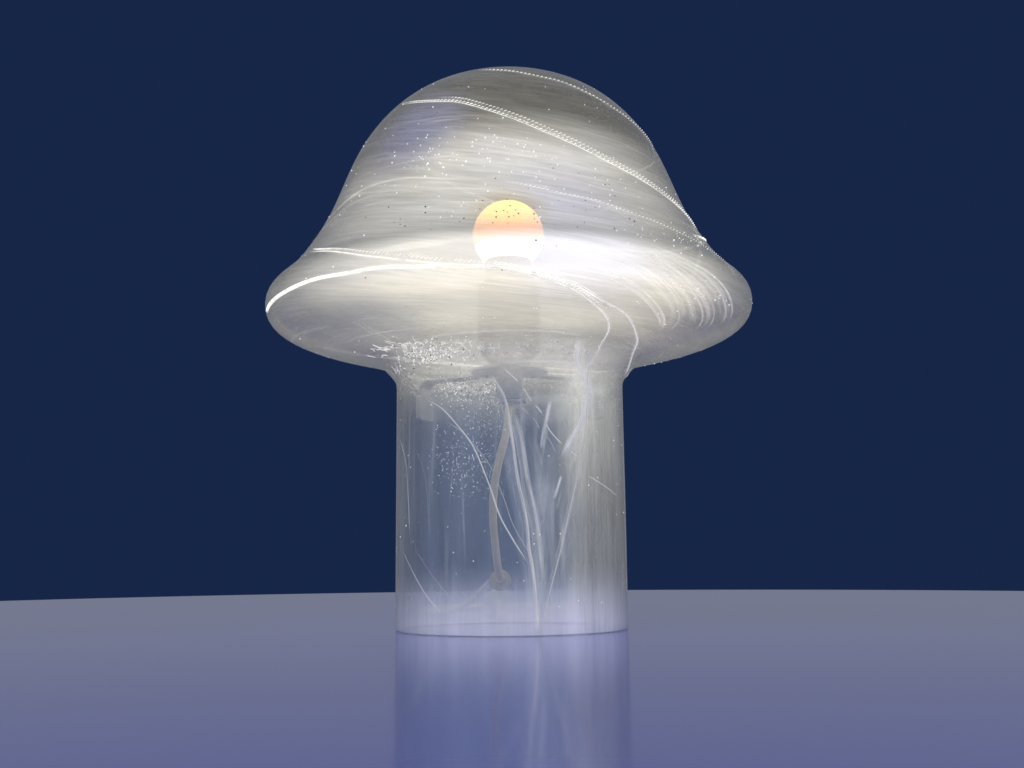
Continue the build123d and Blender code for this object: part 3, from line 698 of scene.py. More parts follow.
def flow_at(points):
    """The flow vector at points of the wall or near it."""
    turn = np.arctan2(points[:, 0], -points[:, 1])
    arc = np.interp(points[:, 2], skin[:, 1], skin_reach)
    in_stem = np.interp(arc, flow_steps, in_stem_steps)
    drift = np.interp(arc, flow_steps, across_steps)
    drift += (1 - in_stem) * (TILT * points[:, 0] + WAVE * np.sin(2 * turn + 1.1))
    wide = CAP_WIDE + STEM_WIDER * in_stem
    return np.column_stack([wide * np.cos(turn), wide * np.sin(turn), drift])


def store(piece, name, vectors):
    """Keeps a vector on each point of a piece, for its finish to read."""
    layer = piece.data.attributes.new(name, "FLOAT_VECTOR", "POINT")
    layer.data.foreach_set("vector", np.ravel(vectors))


spots = np.empty(3 * len(glass.data.vertices))
glass.data.vertices.foreach_get("co", spots)
store(glass, "flow", flow_at(spots.reshape(-1, 3)))

# %% [markdown]
# ## Marbled glass
# Clear glass lets the eye through and milk stops it. Refracting glass would do both, but a wall
# this thin bends light so little that it only adds noise. So the skin is a mix: where the milk
# is thin, a clear shader with a faint tint, and where it is thick, a white lit from the front
# and, where it is looked at squarely, a little from behind. The milk also has a painted glow, its
# own light standing in for the lit bulb's, strongest there too, and seen edge on there is more
# milk on the sight line, so all three follow the facing. The painted glow has its own tone at
# each height, and a few patches: a blue, a lavender, a dark one of painted shade, grey ones of
# painted shade at the brim and an amber one in front of the bulb. The milk's colour turns grey,
# painted shade, towards the crown and edge on, and lavender at the foot, a painted reflection of
# the blue floor. A thin mirror lies over all of it. Its strength is written out by the facing,
# because the Fresnel node turns into a full mirror on the far side of a wall.

# %% Painted glow of the milk, in place of the bulb's light in it
# Tones of the painted glow: the milk's own light stands in for the bulb's light in it.
WARM_GLOW, WHITE_GLOW, OLIVE_GLOW = (1.0, 0.92, 0.72), (0.62, 0.595, 0.55), (0.050, 0.048, 0.037)
BRIM_TOP_GLOW, GREY_RIM_GLOW, AMBER_GLOW = (0.45, 0.425, 0.38), (0.20, 0.20, 0.185), (0.66, 0.50, 0.22)
BLUE_GLOW, LAVENDER_GLOW = (0.20, 0.21, 0.38), (0.62, 0.61, 0.74)
STEM_BLUE, STEM_GREY, STEM_WARM = (0.052, 0.072, 0.114), (0.14, 0.14, 0.13), (0.26, 0.245, 0.21)
# FOOT_GLOW is a painted reflection of the blue floor at the foot.
STEM_SIDE, FOOT_GLOW = (0.42, 0.41, 0.38), (0.22, 0.22, 0.28)
PAINTED_BLUE_GLOW_SPOT, PAINTED_LAVENDER_GLOW_SPOT = (-0.055, -0.082, 0.283), (0.036, -0.128, 0.214)
# A spot where the milk is thinner and its glow has painted shade.
THIN_MILK_PAINTED_SHADE = (-0.075, -0.085, 0.173)
BEFORE_BULB = (0.0, -0.125, 0.2145)
# Spots of painted shade in the glow round the brim.
PAINTED_SHADE_RIMS = (
    (-0.125, -0.070, 0.185), (0.130, -0.062, 0.185), (0.120, 0.080, 0.185), (-0.120, 0.085, 0.185),
)
# Heights over which the crown turns to painted shade, in its glow and its colour.
CROWN_PAINTED_SHADE = (0.256, 0.294)
BULB_REACH, PATCH_CORE = 0.027, 0.2


def near(finish, middle, reach):
    """1 at a point, fading to 0 at a distance from it."""
    away = finish.add("VectorMath", {"operation": "DISTANCE"}, {0: finish.here(), 1: middle}, out=1)
    return 1 - away.between(reach * PATCH_CORE, reach)


def glow(finish, height, grey_side, foot, squarely, streaks):
    """Painted glow standing in for the bulb's light that the milk sends on: warm in the cap, dim and
    bluish in the stem.
    """
    cap = finish.blend(height.between(0.176, 0.190), WARM_GLOW, BRIM_TOP_GLOW)
    for share, tone in (
        (height.between(0.196, 0.214), WHITE_GLOW),
        (near(finish, PAINTED_LAVENDER_GLOW_SPOT, 0.060) * 0.8, LAVENDER_GLOW),
        # Painted shade: a dim olive glow towards the crown.
        (height.between(*CROWN_PAINTED_SHADE), OLIVE_GLOW),
        (near(finish, PAINTED_BLUE_GLOW_SPOT, 0.046) * 0.9, BLUE_GLOW),
        # Painted shade: a greyer, dimmer glow at the spot of thinner milk.
        (near(finish, THIN_MILK_PAINTED_SHADE, 0.050) * 0.6, STEM_GREY),
        # Painted shade: a dim grey glow at four spots round the brim.
        *((near(finish, rim, 0.058) * 0.7, GREY_RIM_GLOW) for rim in PAINTED_SHADE_RIMS),
        (near(finish, BEFORE_BULB, BULB_REACH) * 0.75, AMBER_GLOW),
    ):
        cap = finish.blend(share, cap, tone)
    # Painted light: the stem's glow is brighter on its right side and warmer near the neck.
    stem = finish.blend(grey_side, STEM_BLUE, STEM_GREY)
    stem = finish.blend(height.between(0.115, 0.150), stem, STEM_WARM)
    stem = finish.blend(height.between(0.060, 0.140) * grey_side, stem, STEM_SIDE)
    # Painted reflection of the blue floor: a lavender glow at the foot.
    stem = finish.blend(foot, stem, FOOT_GLOW)
    share = squarely ** 1.6 * (0.96 + streaks * 0.48)
    return finish.blend(share.held(), (0, 0, 0), finish.blend(height.between(0.160, 0.172), stem, cap))


# %% Marbled skin
def under_mirror(finish, glassy, roughness, shine):
    """The finish's surface with a thin mirror over it."""
    mirror = finish.add("BsdfAnisotropic", {}, {"Color": (1, 1, 1, 1), "Roughness": roughness})
    return finish.shows(finish.add("MixShader", {}, {0: shine, 1: glassy, 2: mirror}))


def marbled_skin():
    finish = Finish("marbled_glass")
    height = finish.height()
    to_right = finish.add("SeparateXYZ", {}, {0: finish.here()}, out=0)
    flow = finish.add("Attribute", {"attribute_name": "flow"}, out=1)
    fine = finish.noise(560.0, 5.0, 0.68, place=flow)
    broad = finish.noise(80.0, 4.0, 0.55, place=flow)
    clouds = finish.noise(17.0, 3.0)
    edge_on = finish.edge_on()
    squarely = 1 - edge_on
    in_cap = height.between(0.138, 0.168)
    in_stem = 1 - in_cap
    foot = 1 - height.between(0.002, 0.042)
    neck = height.between(0.122, 0.152)
    grey_side = to_right.between(0.018, 0.045) * in_stem
    streaks = (fine - 0.5) * (0.5 + in_cap * 1.0 + grey_side * 0.7) + (broad - 0.5) * 1.5 + 0.5
    milk = 0.27 + in_cap * 0.23 + neck * 0.22 + foot * 0.30 + grey_side * 0.20
    milk = milk + (streaks - 0.5) * (0.15 + in_stem * 0.15) + (clouds - 0.5) * 0.20
    milk = milk - near(finish, THIN_MILK_PAINTED_SHADE, 0.060) * 0.22 - near(finish, BEFORE_BULB, BULB_REACH) * 0.20
    milk = milk + (1 - milk) * edge_on ** 2.5 * 0.60
    cream, grey, blue = (0.50, 0.47, 0.38), (0.12, 0.12, 0.10), (0.36, 0.43, 0.62)
    colour = finish.blend(clouds.between(0.38, 0.62), cream, (0.48, 0.49, 0.53))
    colour = finish.blend(in_stem * (1 - grey_side), colour, blue)
    # Painted shade: the milk's colour turns grey towards the crown and where the skin is seen edge on.
    colour = finish.blend((height.between(*CROWN_PAINTED_SHADE) + edge_on * 1.1).held(), colour, grey)
    # Painted reflection of the blue floor: the foot's colour turns lavender.
    colour = finish.blend(foot * 0.8, colour, (0.62, 0.63, 0.76))
    colour = finish.blend(streaks.between(0.25, 0.9) * 0.2, colour, (0.80, 0.80, 0.76))
    # The Emission below is a painted glow, in place of the bulb's light scattered in the milk.
    white = finish.add("BsdfPrincipled", {}, {
        "Base Color": colour, "Roughness": 0.25, "Emission Strength": 2.1,
        "Emission Color": glow(finish, height, grey_side, foot, squarely, streaks),
    })
    behind_light = finish.add("BsdfTranslucent", {}, {0: (0.60, 0.59, 0.54, 1.0)})
    both = finish.add("MixShader", {}, {0: squarely * 0.18, 1: white, 2: behind_light})
    clear = finish.add("BsdfTransparent", {}, {0: (0.93, 0.955, 0.95, 1.0)})
    glassy = finish.add("MixShader", {}, {0: milk.held(), 1: clear, 2: both})
    return under_mirror(finish, glassy, 0.12, edge_on ** 5.0 * 0.45 + 0.03)


# %% The hollow's face
def clear_hollow():
    """The inner face of the wall: almost clear, with a faint bloom and its own shine."""
    finish = Finish("hollow_face")
    flow = finish.add("Attribute", {"attribute_name": "flow"}, out=1)
    bloom = finish.noise(90.0, 3.0, place=flow).between(0.35, 0.8) * 0.16 + 0.03
    clear = finish.add("BsdfTransparent", {}, {0: (0.97, 0.98, 0.975, 1.0)})
    white = finish.add("BsdfTranslucent", {}, {0: (0.60, 0.60, 0.56, 1.0)})
    glassy = finish.add("MixShader", {}, {0: bloom, 1: clear, 2: white})
    return under_mirror(finish, glassy, 0.15, finish.edge_on() ** 5.0 * 0.5 + 0.01)


glass.data.materials.append(marbled_skin())
glass.data.materials.append(clear_hollow())
print("the glass has", len(glass.data.materials), "finishes")

# %% [markdown]
# ## Veils, threads and air in the glass
# What makes this glass its own are the lines frozen in it: wide veils of milk, thin bright
# threads, a rope of twisted air, rows of beads and single seeds. Painted on the skin they would
# look flat, so they are real pieces that lie at different depths inside the wall. Each
# line is a short list of pixels of the photograph, followed along the glass by sight lines.

# %% Lines seen from the front
SPIRAL = [(403, 104), (432, 101), (458, 101), (491, 110), (517, 119), (543, 130), (575, 144),
          (608, 161), (640, 178), (669, 198), (686, 214)]
CROWN_TRAIL = [(491, 70), (510, 71), (533, 75), (562, 82), (588, 93), (614, 108), (634, 123)]
SHOULDER_ARC = [(336, 211), (357, 193), (380, 183), (406, 178), (432, 178), (458, 179), (497, 180),
                (533, 186), (562, 193), (595, 200), (627, 211), (656, 222)]
BRIM_TO_STEM = [(310, 252), (348, 253), (390, 258), (432, 263), (478, 266), (510, 269), (543, 278),
                (572, 289), (595, 305), (608, 321), (607, 334), (598, 351), (590, 364), (587, 386),
                (587, 408), (584, 440), (578, 473), (571, 505), (561, 549), (550, 592), (541, 631)]
ROPE = [(266, 313), (270, 304), (286, 291), (315, 279), (348, 273), (380, 268), (419, 267),
        (458, 268)]
ROPE_THIN = [(419, 267), (458, 268), (510, 268), (543, 275), (575, 285), (601, 300)]
ROPE_END = [(575, 285), (601, 300), (624, 313), (635, 330), (637, 343), (630, 362), (624, 378)]
BRIM_ARCS = [
    [(588, 265), (614, 278), (640, 294), (656, 310), (661, 326), (650, 339)],
    [(601, 252), (634, 265), (660, 284), (676, 307), (673, 326), (653, 339)],
    [(614, 242), (653, 258), (686, 281), (705, 307), (702, 326), (682, 339)],
    [(640, 242), (679, 258), (712, 278), (728, 300), (725, 323), (705, 338)],
]
BULB_STREAK = [(430, 241), (470, 239), (508, 237), (545, 238), (585, 241)]
V_MIDDLE = [(546, 430), (545, 470), (543, 520), (541, 570), (540, 605), (540, 634)]
NECK_LINE = [(504, 362), (543, 361), (583, 363)]
NECK_CREASE_PAINTED_HIGHLIGHT = [(422, 338), (445, 335), (478, 332), (517, 330), (556, 332), (582, 335)]
V_LEFT = [(491, 375), (504, 397), (511, 431), (517, 475), (526, 518), (529, 549), (533, 570),
          (537, 614), (538, 634)]
V_INSIDE = [(509, 405), (520, 431), (528, 479), (536, 516), (541, 555), (543, 581)]
V_RIGHT = [(578, 338), (576, 360), (585, 382), (587, 397), (578, 423), (565, 449), (563, 462)]
V_RIGHT_END = [(561, 475), (554, 499)]
V_STROKE = [(550, 399), (548, 412), (543, 436), (542, 451)]
DASHED = [(504, 369), (520, 384), (530, 399), (541, 412), (550, 431), (565, 447), (578, 457),
          (587, 464)]
DASHED_END = [(587, 475), (600, 483), (617, 497)]
LEFT_SWEEP = [(426, 399), (442, 408), (457, 425), (472, 444), (481, 464), (491, 490), (500, 516),
              (513, 540), (528, 564)]
LEFT_EDGE = [(400, 436), (406, 462), (409, 505), (410, 538)]
LEFT_LOW = [(403, 549), (413, 572), (426, 594), (442, 614)]
print("the spiral starts at turn and arc", traced(SPIRAL)[0].round(3))

# %% [markdown]
# ## Ribbons, tubes and beads
# A veil is a flat ribbon that follows the wall and fades to its edges. A thread is a fine tube,
# and an air twist is a tube wound round its own line, which reads as a row of slanting
# dashes. Bubbles are tiny balls. All of one kind are gathered into one piece.

# %% Building blocks
chance = np.random.default_rng(11)
VEIL_STEP, TUBE_SIDES = 0.0022, 5
LANES = np.array([-1.0, -0.5, 0.0, 0.5, 1.0])
ON_TOP, NEAR_TOP, AT_SKIN, INSIDE = -0.0003, -0.00025, -0.0001, 0.0002
veil_points, veil_faces, veil_marks = [], [], []
thread_points, thread_faces = [], []
bright_beads, dark_beads = [], []


def sideways(line, shift):
    """A line of turns and arcs moved across itself by a distance."""
    radius = np.interp(line[:, 1], skin_reach, skin[:, 0]).clip(0.01)
    steps = np.gradient(line, axis=0)
    run = np.column_stack([steps[:, 0] * radius, steps[:, 1]])
    run /= np.linalg.norm(run, axis=1)[:, None].clip(1e-9)
    return line + np.column_stack([-run[:, 1] / radius, run[:, 0]]) * np.reshape(shift, (-1, 1))


def veil(line, width, strength, depth=AT_SKIN, ends=0.12):
    """A soft ribbon of milk along a line. The width may change along it."""
    rows, count = len(line), len(LANES)
    wide = np.broadcast_to(width, rows) / 2
    first = sum(map(len, veil_points))
    lanes = [sideways(line, wide * lane) for lane in LANES]
    spots = [on_skin(lane[:, 0], lane[:, 1], depth) for lane in lanes]
    veil_points.append(np.stack(spots, axis=1).reshape(-1, 3))
    share = np.linspace(0, 1, rows)
    fade = strength * np.clip(share / ends, 0, 1) * np.clip((1 - share) / ends, 0, 1)
    run = np.linspace(0, along(spots[count // 2])[-1], rows) + chance.uniform(0, 5)
    marks = np.stack([
        np.broadcast_to(LANES, (rows, count)), np.repeat(run[:, None], count, axis=1),
        np.repeat(fade[:, None], count, axis=1),
    ], axis=2)
    veil_marks.append(marks.reshape(-1, 3))
    for row in range(rows - 1):
        for lane in range(count - 1):
            corner = first + row * count + lane
            veil_faces.append((corner, corner + 1, corner + count + 1, corner + count))


def frames_on(line, depth):
    """Points of a line inside the wall with the directions out of the wall and across it."""
    spots = on_skin(line[:, 0], line[:, 1], depth)
    out = on_skin(line[:, 0], line[:, 1], depth - 0.001) - spots
    out /= np.linalg.norm(out, axis=1)[:, None]
    run = np.gradient(spots, axis=0)
    run /= np.linalg.norm(run, axis=1)[:, None].clip(1e-9)
    return spots, out, np.cross(out, run)


def tube(spots, out, aside, radius):
    """A fine tube through points, thinner to its ends."""
    rows = len(spots)
    taper = np.clip(np.minimum(np.arange(rows), np.arange(rows)[::-1]) / max(rows * 0.08, 2), 0.15, 1)
    first = sum(map(len, thread_points))
    rings = [
        spots + (math.cos(lean) * out + math.sin(lean) * aside) * (radius * taper)[:, None]
        for lean in 2 * math.pi * np.arange(TUBE_SIDES) / TUBE_SIDES
    ]
    thread_points.append(np.stack(rings, axis=1).reshape(-1, 3))
    for row in range(rows - 1):
        for side in range(TUBE_SIDES):
            start = first + row * TUBE_SIDES
            corner, beside = start + side, start + (side + 1) % TUBE_SIDES
            thread_faces.append((corner, beside, beside + TUBE_SIDES, corner + TUBE_SIDES))
    for end in (first, first + (rows - 1) * TUBE_SIDES):
        thread_faces.append(tuple(range(end, end + TUBE_SIDES)))


def thread(line, radius=0.0003, depth=0.0):
    tube(*frames_on(line, depth), radius)


def air_twist(line, reach=0.0008, pitch=0.0026, radius=0.0002, strands=1, depth=0.0001):
    """Fine strands wound round a line."""
    spots = on_skin(line[:, 0], line[:, 1])
    distance = along(spots)
    steps = np.arange(0, distance[-1], pitch / 9)
    fine = np.column_stack([np.interp(steps, distance, line[:, axis]) for axis in (0, 1)])
    spots, out, aside = frames_on(fine, depth)
    for strand in range(strands):
        wind = 2 * math.pi * (steps / pitch + strand / strands)
        swing = np.cos(wind)[:, None] * out + np.sin(wind)[:, None] * aside
        tube(spots + swing * reach, out, aside, np.float64(radius))


def bead(turn, arc, radius, depth=0.0001, dark=False):
    place = on_skin(np.array([turn]), np.array([arc]), depth)[0]
    (dark_beads if dark else bright_beads).append((*place, radius))


# %% [markdown]
# ## The same lines on every side
# The photograph shows one side. The flow went all round, so the far side gets the same lines
# turned half round and mirrored, each moved a little by chance. On that side the veils are a
# little fainter. A line that leaves the view is carried on past its end.

# %% Drawing all the lines
MIRROR_TURN, FAR_SHARE = math.radians(174), 0.85
STEP_ON, SETTLE, STEEPEST = 0.04, 0.22, 0.05


def both_sides(pixels):
    """The line through pixels, and its sister on the far side of the glass."""
    seen = traced(pixels)
    far = seen * (-1, 1) + (MIRROR_TURN + chance.uniform(-0.07, 0.07), chance.uniform(-0.002, 0.002))
    return [(flowing(seen), 1.0), (flowing(far), FAR_SHARE)]


def extended(line, start=0.0, end=0.0, tilt=0.0):
    """The line carried on round the glass past its ends, by turns, climbing by a tilt."""
    parts, onward = [line], math.copysign(1, line[-1, 0] - line[0, 0])
    for before, span, last, previous in (
        (True, start, line[0], line[1]), (False, end, line[-1], line[-2]),
    ):
        if span:
            climb = tilt if before else -tilt
            heading = -onward if before else onward
            slope = (last[1] - previous[1]) / max(abs(last[0] - previous[0]), 1e-4)
            slope = min(max(slope, -STEEPEST), STEEPEST)
            away = np.arange(STEP_ON, span + STEP_ON, STEP_ON)
            eased = climb * away + (slope - climb) * SETTLE * (1 - np.exp(-away / SETTLE))
            more = np.column_stack([last[0] + heading * away, last[1] + eased])
            parts = [more[::-1], *parts] if before else [*parts, more]
    return np.vstack(parts)


def marked(pixels, *veils, threads=()):
    """Both sisters of a line. Veils: shift, width, strength, depth and fading ends. Threads:
    shift and radius. Two widths are those at the line's start and end."""
    for line, share in both_sides(pixels):
        for shift, width, strength, depth, ends in veils:
            wide = np.linspace(*width, len(line)) if isinstance(width, tuple) else width
            veil(sideways(line, shift), wide, strength * share, depth, ends)
        for shift, radius in threads:
            thread(sideways(line, shift), radius)


for line, share in both_sides(SPIRAL):
    way_round = flowing(extended(line[::8], end=0.9, tilt=0.030))
    air_twist(way_round, 0.0006, 0.0026, 0.00022)
    air_twist(sideways(line[len(line) // 6:], 0.0028), 0.0005, 0.0024, 0.00019)
    thread(sideways(way_round, -0.0009), 0.00016)
    veil(way_round, 0.006, 0.16 * share)
    veil(sideways(way_round, 0.008), 0.014, 0.08 * share, INSIDE)
for line, share in both_sides(CROWN_TRAIL):
    longer = flowing(extended(line[::6], start=0.1, end=0.5, tilt=0.012))
    air_twist(longer, 0.0005, 0.0025, 0.00017)
    veil(longer, 0.005, 0.20 * share)
for line, share in both_sides(SHOULDER_ARC):
    longer = flowing(extended(line[::6], start=0.5, end=0.7, tilt=0.025))
    veil(longer[: len(longer) // 2], 0.0022, 0.6 * share, NEAR_TOP, ends=0.3)
    air_twist(longer[len(longer) // 2:], 0.0004, 0.0024, 0.00014)
    for lane in range(22):
        start = int(chance.uniform(0.0, 0.75) * len(longer))
        length = int(chance.uniform(5, 60))
        part = sideways(longer, -0.0011 * (lane + 1))[start:start + length]
        if len(part) > 4:
            veil(part, chance.uniform(0.0006, 0.0018), chance.uniform(0.25, 0.6), ON_TOP, ends=0.3)
for line, share in both_sides(BRIM_TO_STEM):
    thread(line, 0.00032)
    veil(line, 0.0034, 0.42 * share)
    veil(sideways(line, 0.0035), 0.008, 0.20 * share, INSIDE)
    air_twist(sideways(line[: len(line) // 2], 0.0022), 0.0005, 0.0025, 0.00018)
for line, share in both_sides(ROPE):
    longer = flowing(extended(line[::8], start=0.12, tilt=-0.010))
    air_twist(longer, 0.0008, 0.0034, 0.00030, strands=3)
    veil(longer, 0.0034, 0.70 * share)
    veil(sideways(longer, 0.004), 0.010, 0.24 * share, INSIDE)
marked(ROPE_THIN, (0, 0.0030, 0.34, AT_SKIN, 0.3), threads=[(0, 0.00028), (0.0014, 0.00018)])
for line, share in both_sides(ROPE_END):
    wide = 0.0014 + 0.0022 * np.linspace(0, 1, len(line)) ** 1.5
    veil(line, wide, 0.95 * share, ON_TOP, ends=0.08)
    thread(line, 0.00042)
    veil(sideways(line, 0.0030), 0.008, 0.30 * share, INSIDE)
# A painted highlight: a bright veil of milk along the neck's crease, on both sides.
marked(NECK_CREASE_PAINTED_HIGHLIGHT, (0, 0.0030, 0.75, ON_TOP, 0.12))
marked(BULB_STREAK, (0, 0.0030, 0.25, AT_SKIN, 0.35))
marked(V_MIDDLE, (0, (0.030, 0.003), 0.34, INSIDE, 0.25))
marked(NECK_LINE, (0, 0.0018, 0.55, AT_SKIN, 0.3))
marked(
    V_LEFT, (0, (0.0022, 0.0040), 0.60, NEAR_TOP, 0.05), (-0.003, 0.008, 0.30, INSIDE, 0.12),
    threads=[(0.0005, 0.00026)],
)
marked(V_INSIDE, (0, 0.0036, 0.55, AT_SKIN, 0.12), (-0.0030, 0.006, 0.30, 0.0003, 0.12))
marked(V_RIGHT, (0, 0.0040, 0.95, ON_TOP, 0.12), (0.0025, 0.0090, 0.45, -0.00015, 0.12))
for pixels, width in ((V_RIGHT_END, 0.0024), (V_STROKE, 0.0034), (DASHED_END, 0.0012)):
    marked(pixels, (0, width, 0.8, NEAR_TOP, 0.12))
for line, share in both_sides(DASHED):
    start = 0
    while start < len(line) - 6:
        dash = int(chance.uniform(6, 16))
        veil(line[start:start + dash], 0.0013, 0.9 * share, ON_TOP)
        start += dash + int(chance.uniform(1, 5))
marked(LEFT_SWEEP, (0, 0.0014, 0.6, NEAR_TOP, 0.12), threads=[(0, 0.00026)])
for pixels in (LEFT_EDGE, LEFT_LOW):
    marked(pixels, (0, 0.0014, 0.55, NEAR_TOP, 0.12))
print(len(veil_marks), "veils,", len(thread_points), "threads so far")

# %% [markdown]
# ## Families of fine arcs
# Between the main arcs at the brim lie dozens of faint ones, all bending the same way under
# the brim and down to the neck. They are drawn by blending two neighbours, as stretched glass
# does. The stem has upright ones, most of them at its right, and the cap short ones that
# run round it. They lie at any depth of the wall, some of them just outside it.

# %% Brim arcs, upright streaks and cap streaks
DEEPEST = 0.0012


def blended(first, second, share):
    """A line part of the way from one line to its neighbour, or past it."""
    even = np.linspace(0, 1, 60)
    lines = [
        np.column_stack([
            np.interp(even, np.linspace(0, 1, len(line)), line[:, axis]) for axis in (0, 1)
        ])
        for line in (first, second)
    ]
    return flowing((lines[0] * (1 - share) + lines[1] * share)[::4], VEIL_STEP)


arc_sides = list(zip(*[both_sides(pixels) for pixels in BRIM_ARCS]))
for arcs in arc_sides:
    for first, second in zip(arcs, arcs[1:]):
        for share in np.sort(chance.uniform(-0.15, 1.15, 20)):
            line = blended(first[0], second[0], share)
            start = int(chance.uniform(0, 0.35) * len(line))
            end = int(chance.uniform(0.7, 1.0) * len(line))
            veil(line[start:end], chance.uniform(0.0007, 0.0026), chance.uniform(0.25, 0.75),
                 depth=chance.uniform(-0.0004, DEEPEST))
STEM_TOP, STREAKS = 0.148, 130
for streak in range(STREAKS):
    turn = chance.uniform(0.55, 1.75) if streak % 2 else chance.uniform(0, 2 * math.pi)
    foot = chance.uniform(0.004, 0.09)
    top = foot + chance.uniform(0.03, 0.11)
    lean = chance.uniform(-0.05, 0.05)
    rise = np.linspace(0, 1, 5)
    line = np.column_stack([turn + lean * rise, foot + (min(top, STEM_TOP) - foot) * rise])
    veil(flowing(line, VEIL_STEP), chance.uniform(0.0008, 0.0045), chance.uniform(0.10, 0.32),
         depth=chance.uniform(-0.0004, DEEPEST), ends=0.4)
CAP_FOOT, CAP_TOP, CAP_STREAKS = 0.170, 0.390, 260
for streak in range(CAP_STREAKS):
    arc = chance.uniform(CAP_FOOT, CAP_TOP)
    radius = np.interp(arc, skin_reach, skin[:, 0])
    span = chance.uniform(0.02, 0.12) / radius
    turn = chance.uniform(0, 2 * math.pi)
    rise = np.linspace(-0.5, 0.5, 5)
    line = np.column_stack([turn + span * rise, arc - span * rise * radius * chance.uniform(0.02, 0.26)])
    veil(flowing(line, VEIL_STEP), chance.uniform(0.0006, 0.0030), chance.uniform(0.10, 0.38),
         depth=chance.uniform(-0.0004, DEEPEST), ends=0.4)
print(len(veil_marks), "veils and", sum(map(len, veil_points)), "points in them")

# %% [markdown]
# ## Froth and seeds
# Small bubbles stay in the glass where it was folded: a froth of bubbles and squiggles at the
# neck, speckled patches under it, and single seeds over the cap, some bright and some
# dark against the bulb. The bright ones carry a painted glint and the dark ones are painted
# shade. Each is placed by chance round a middle given by a pixel.

# %% Bubbles
def sisters(pixel):
    """Turn and arc where a pixel's sight line meets the glass, and those on the far side."""
    seen = traced([pixel])[0]
    return seen, seen * (-1, 1) + (MIRROR_TURN, 0)


def scattered(pixel, spread, count, sizes, dark_share, lean=0.0):
    """Bubbles round the place of a pixel and round its sister."""
    for turn, arc in sisters(pixel):
        radius = np.interp(arc, skin_reach, skin[:, 0])
        for _ in range(count):
            aside, up = chance.normal(0, spread[0]), chance.normal(0, spread[1])
            aside, up = aside - lean * up, up + lean * aside
            bead(turn + aside / radius, arc + up, chance.uniform(*sizes),
                 depth=chance.uniform(-0.0001, 0.0003), dark=chance.random() < dark_share)


scattered((472, 392), (0.010, 0.007), 520, (0.00014, 0.00026), 0.66)
scattered((463, 455), (0.009, 0.010), 420, (0.00013, 0.00024), 0.5, lean=0.4)
scattered((430, 352), (0.015, 0.005), 260, (0.00022, 0.00050), 0.15)
scattered((545, 345), (0.016, 0.004), 150, (0.00015, 0.00028), 0.5)
scattered((470, 150), (0.030, 0.012), 70, (0.00030, 0.00055), 0.0, lean=-0.1)
scattered((430, 165), (0.016, 0.012), 40, (0.00025, 0.00055), 0.0)
scattered((500, 212), (0.045, 0.009), 60, (0.00028, 0.00055), 0.75)
scattered((600, 190), (0.030, 0.014), 40, (0.00025, 0.00045), 0.3)
scattered((660, 235), (0.020, 0.012), 30, (0.00025, 0.00050), 0.1)
scattered((700, 290), (0.014, 0.010), 24, (0.00025, 0.00055), 0.1)
for count, arcs, sizes, dark_share in (
    (420, (0.172, 0.400), (0.0002, 0.00042), 0.2), (160, (0.01, 0.150), (0.00018, 0.00034), 0.3),
):
    for _ in range(count):
        bead(chance.uniform(0, 2 * math.pi), chance.uniform(*arcs), chance.uniform(*sizes),
             depth=chance.uniform(-0.0001, 0.0004), dark=chance.random() < dark_share)


# %% Froth of squiggles at the neck
def squiggle(turn, arc, length, wild, thickness):
    """A short curly thread."""
    radius = np.interp(arc, skin_reach, skin[:, 0])
    heading, place, places = chance.uniform(-0.5, 0.5), np.array([turn, arc]), []
    for _ in range(6):
        places.append(place.copy())
        heading += chance.normal(0, wild)
        place += np.array([math.cos(heading) / radius, math.sin(heading)]) * length / 5
    thread(flowing(np.array(places), 0.0006), thickness, chance.uniform(-0.0003, 0.0003))


for pixel, count, spread in (
    ((395, 348), 46, (0.012, 0.0040)), ((430, 350), 60, (0.014, 0.0045)),
    ((468, 352), 46, (0.012, 0.0035)), ((400, 372), 22, (0.006, 0.0040)),
):
    for turn, arc in sisters(pixel):
        radius = np.interp(arc, skin_reach, skin[:, 0])
        for _ in range(count):
            squiggle(turn + chance.normal(0, spread[0]) / radius, arc + chance.normal(0, spread[1]),
                     chance.uniform(0.003, 0.009), 0.8, chance.uniform(0.00011, 0.00024))
print(len(bright_beads), "bright and", len(dark_beads), "dark bubbles")

# %% [markdown]
# ## From lists to pieces
# The veils, the threads, the bright bubbles and the dark ones become a piece each. A veil's
# share of milk comes from three numbers kept on its points: how far across it is, how far
# along, and how strong. The threads are solid white glass and the bubbles shine. Veils and
# threads carry a painted glow, brighter in the cap than in the stem; the bright bubbles carry a
# painted glint and the dark ones are painted shade.

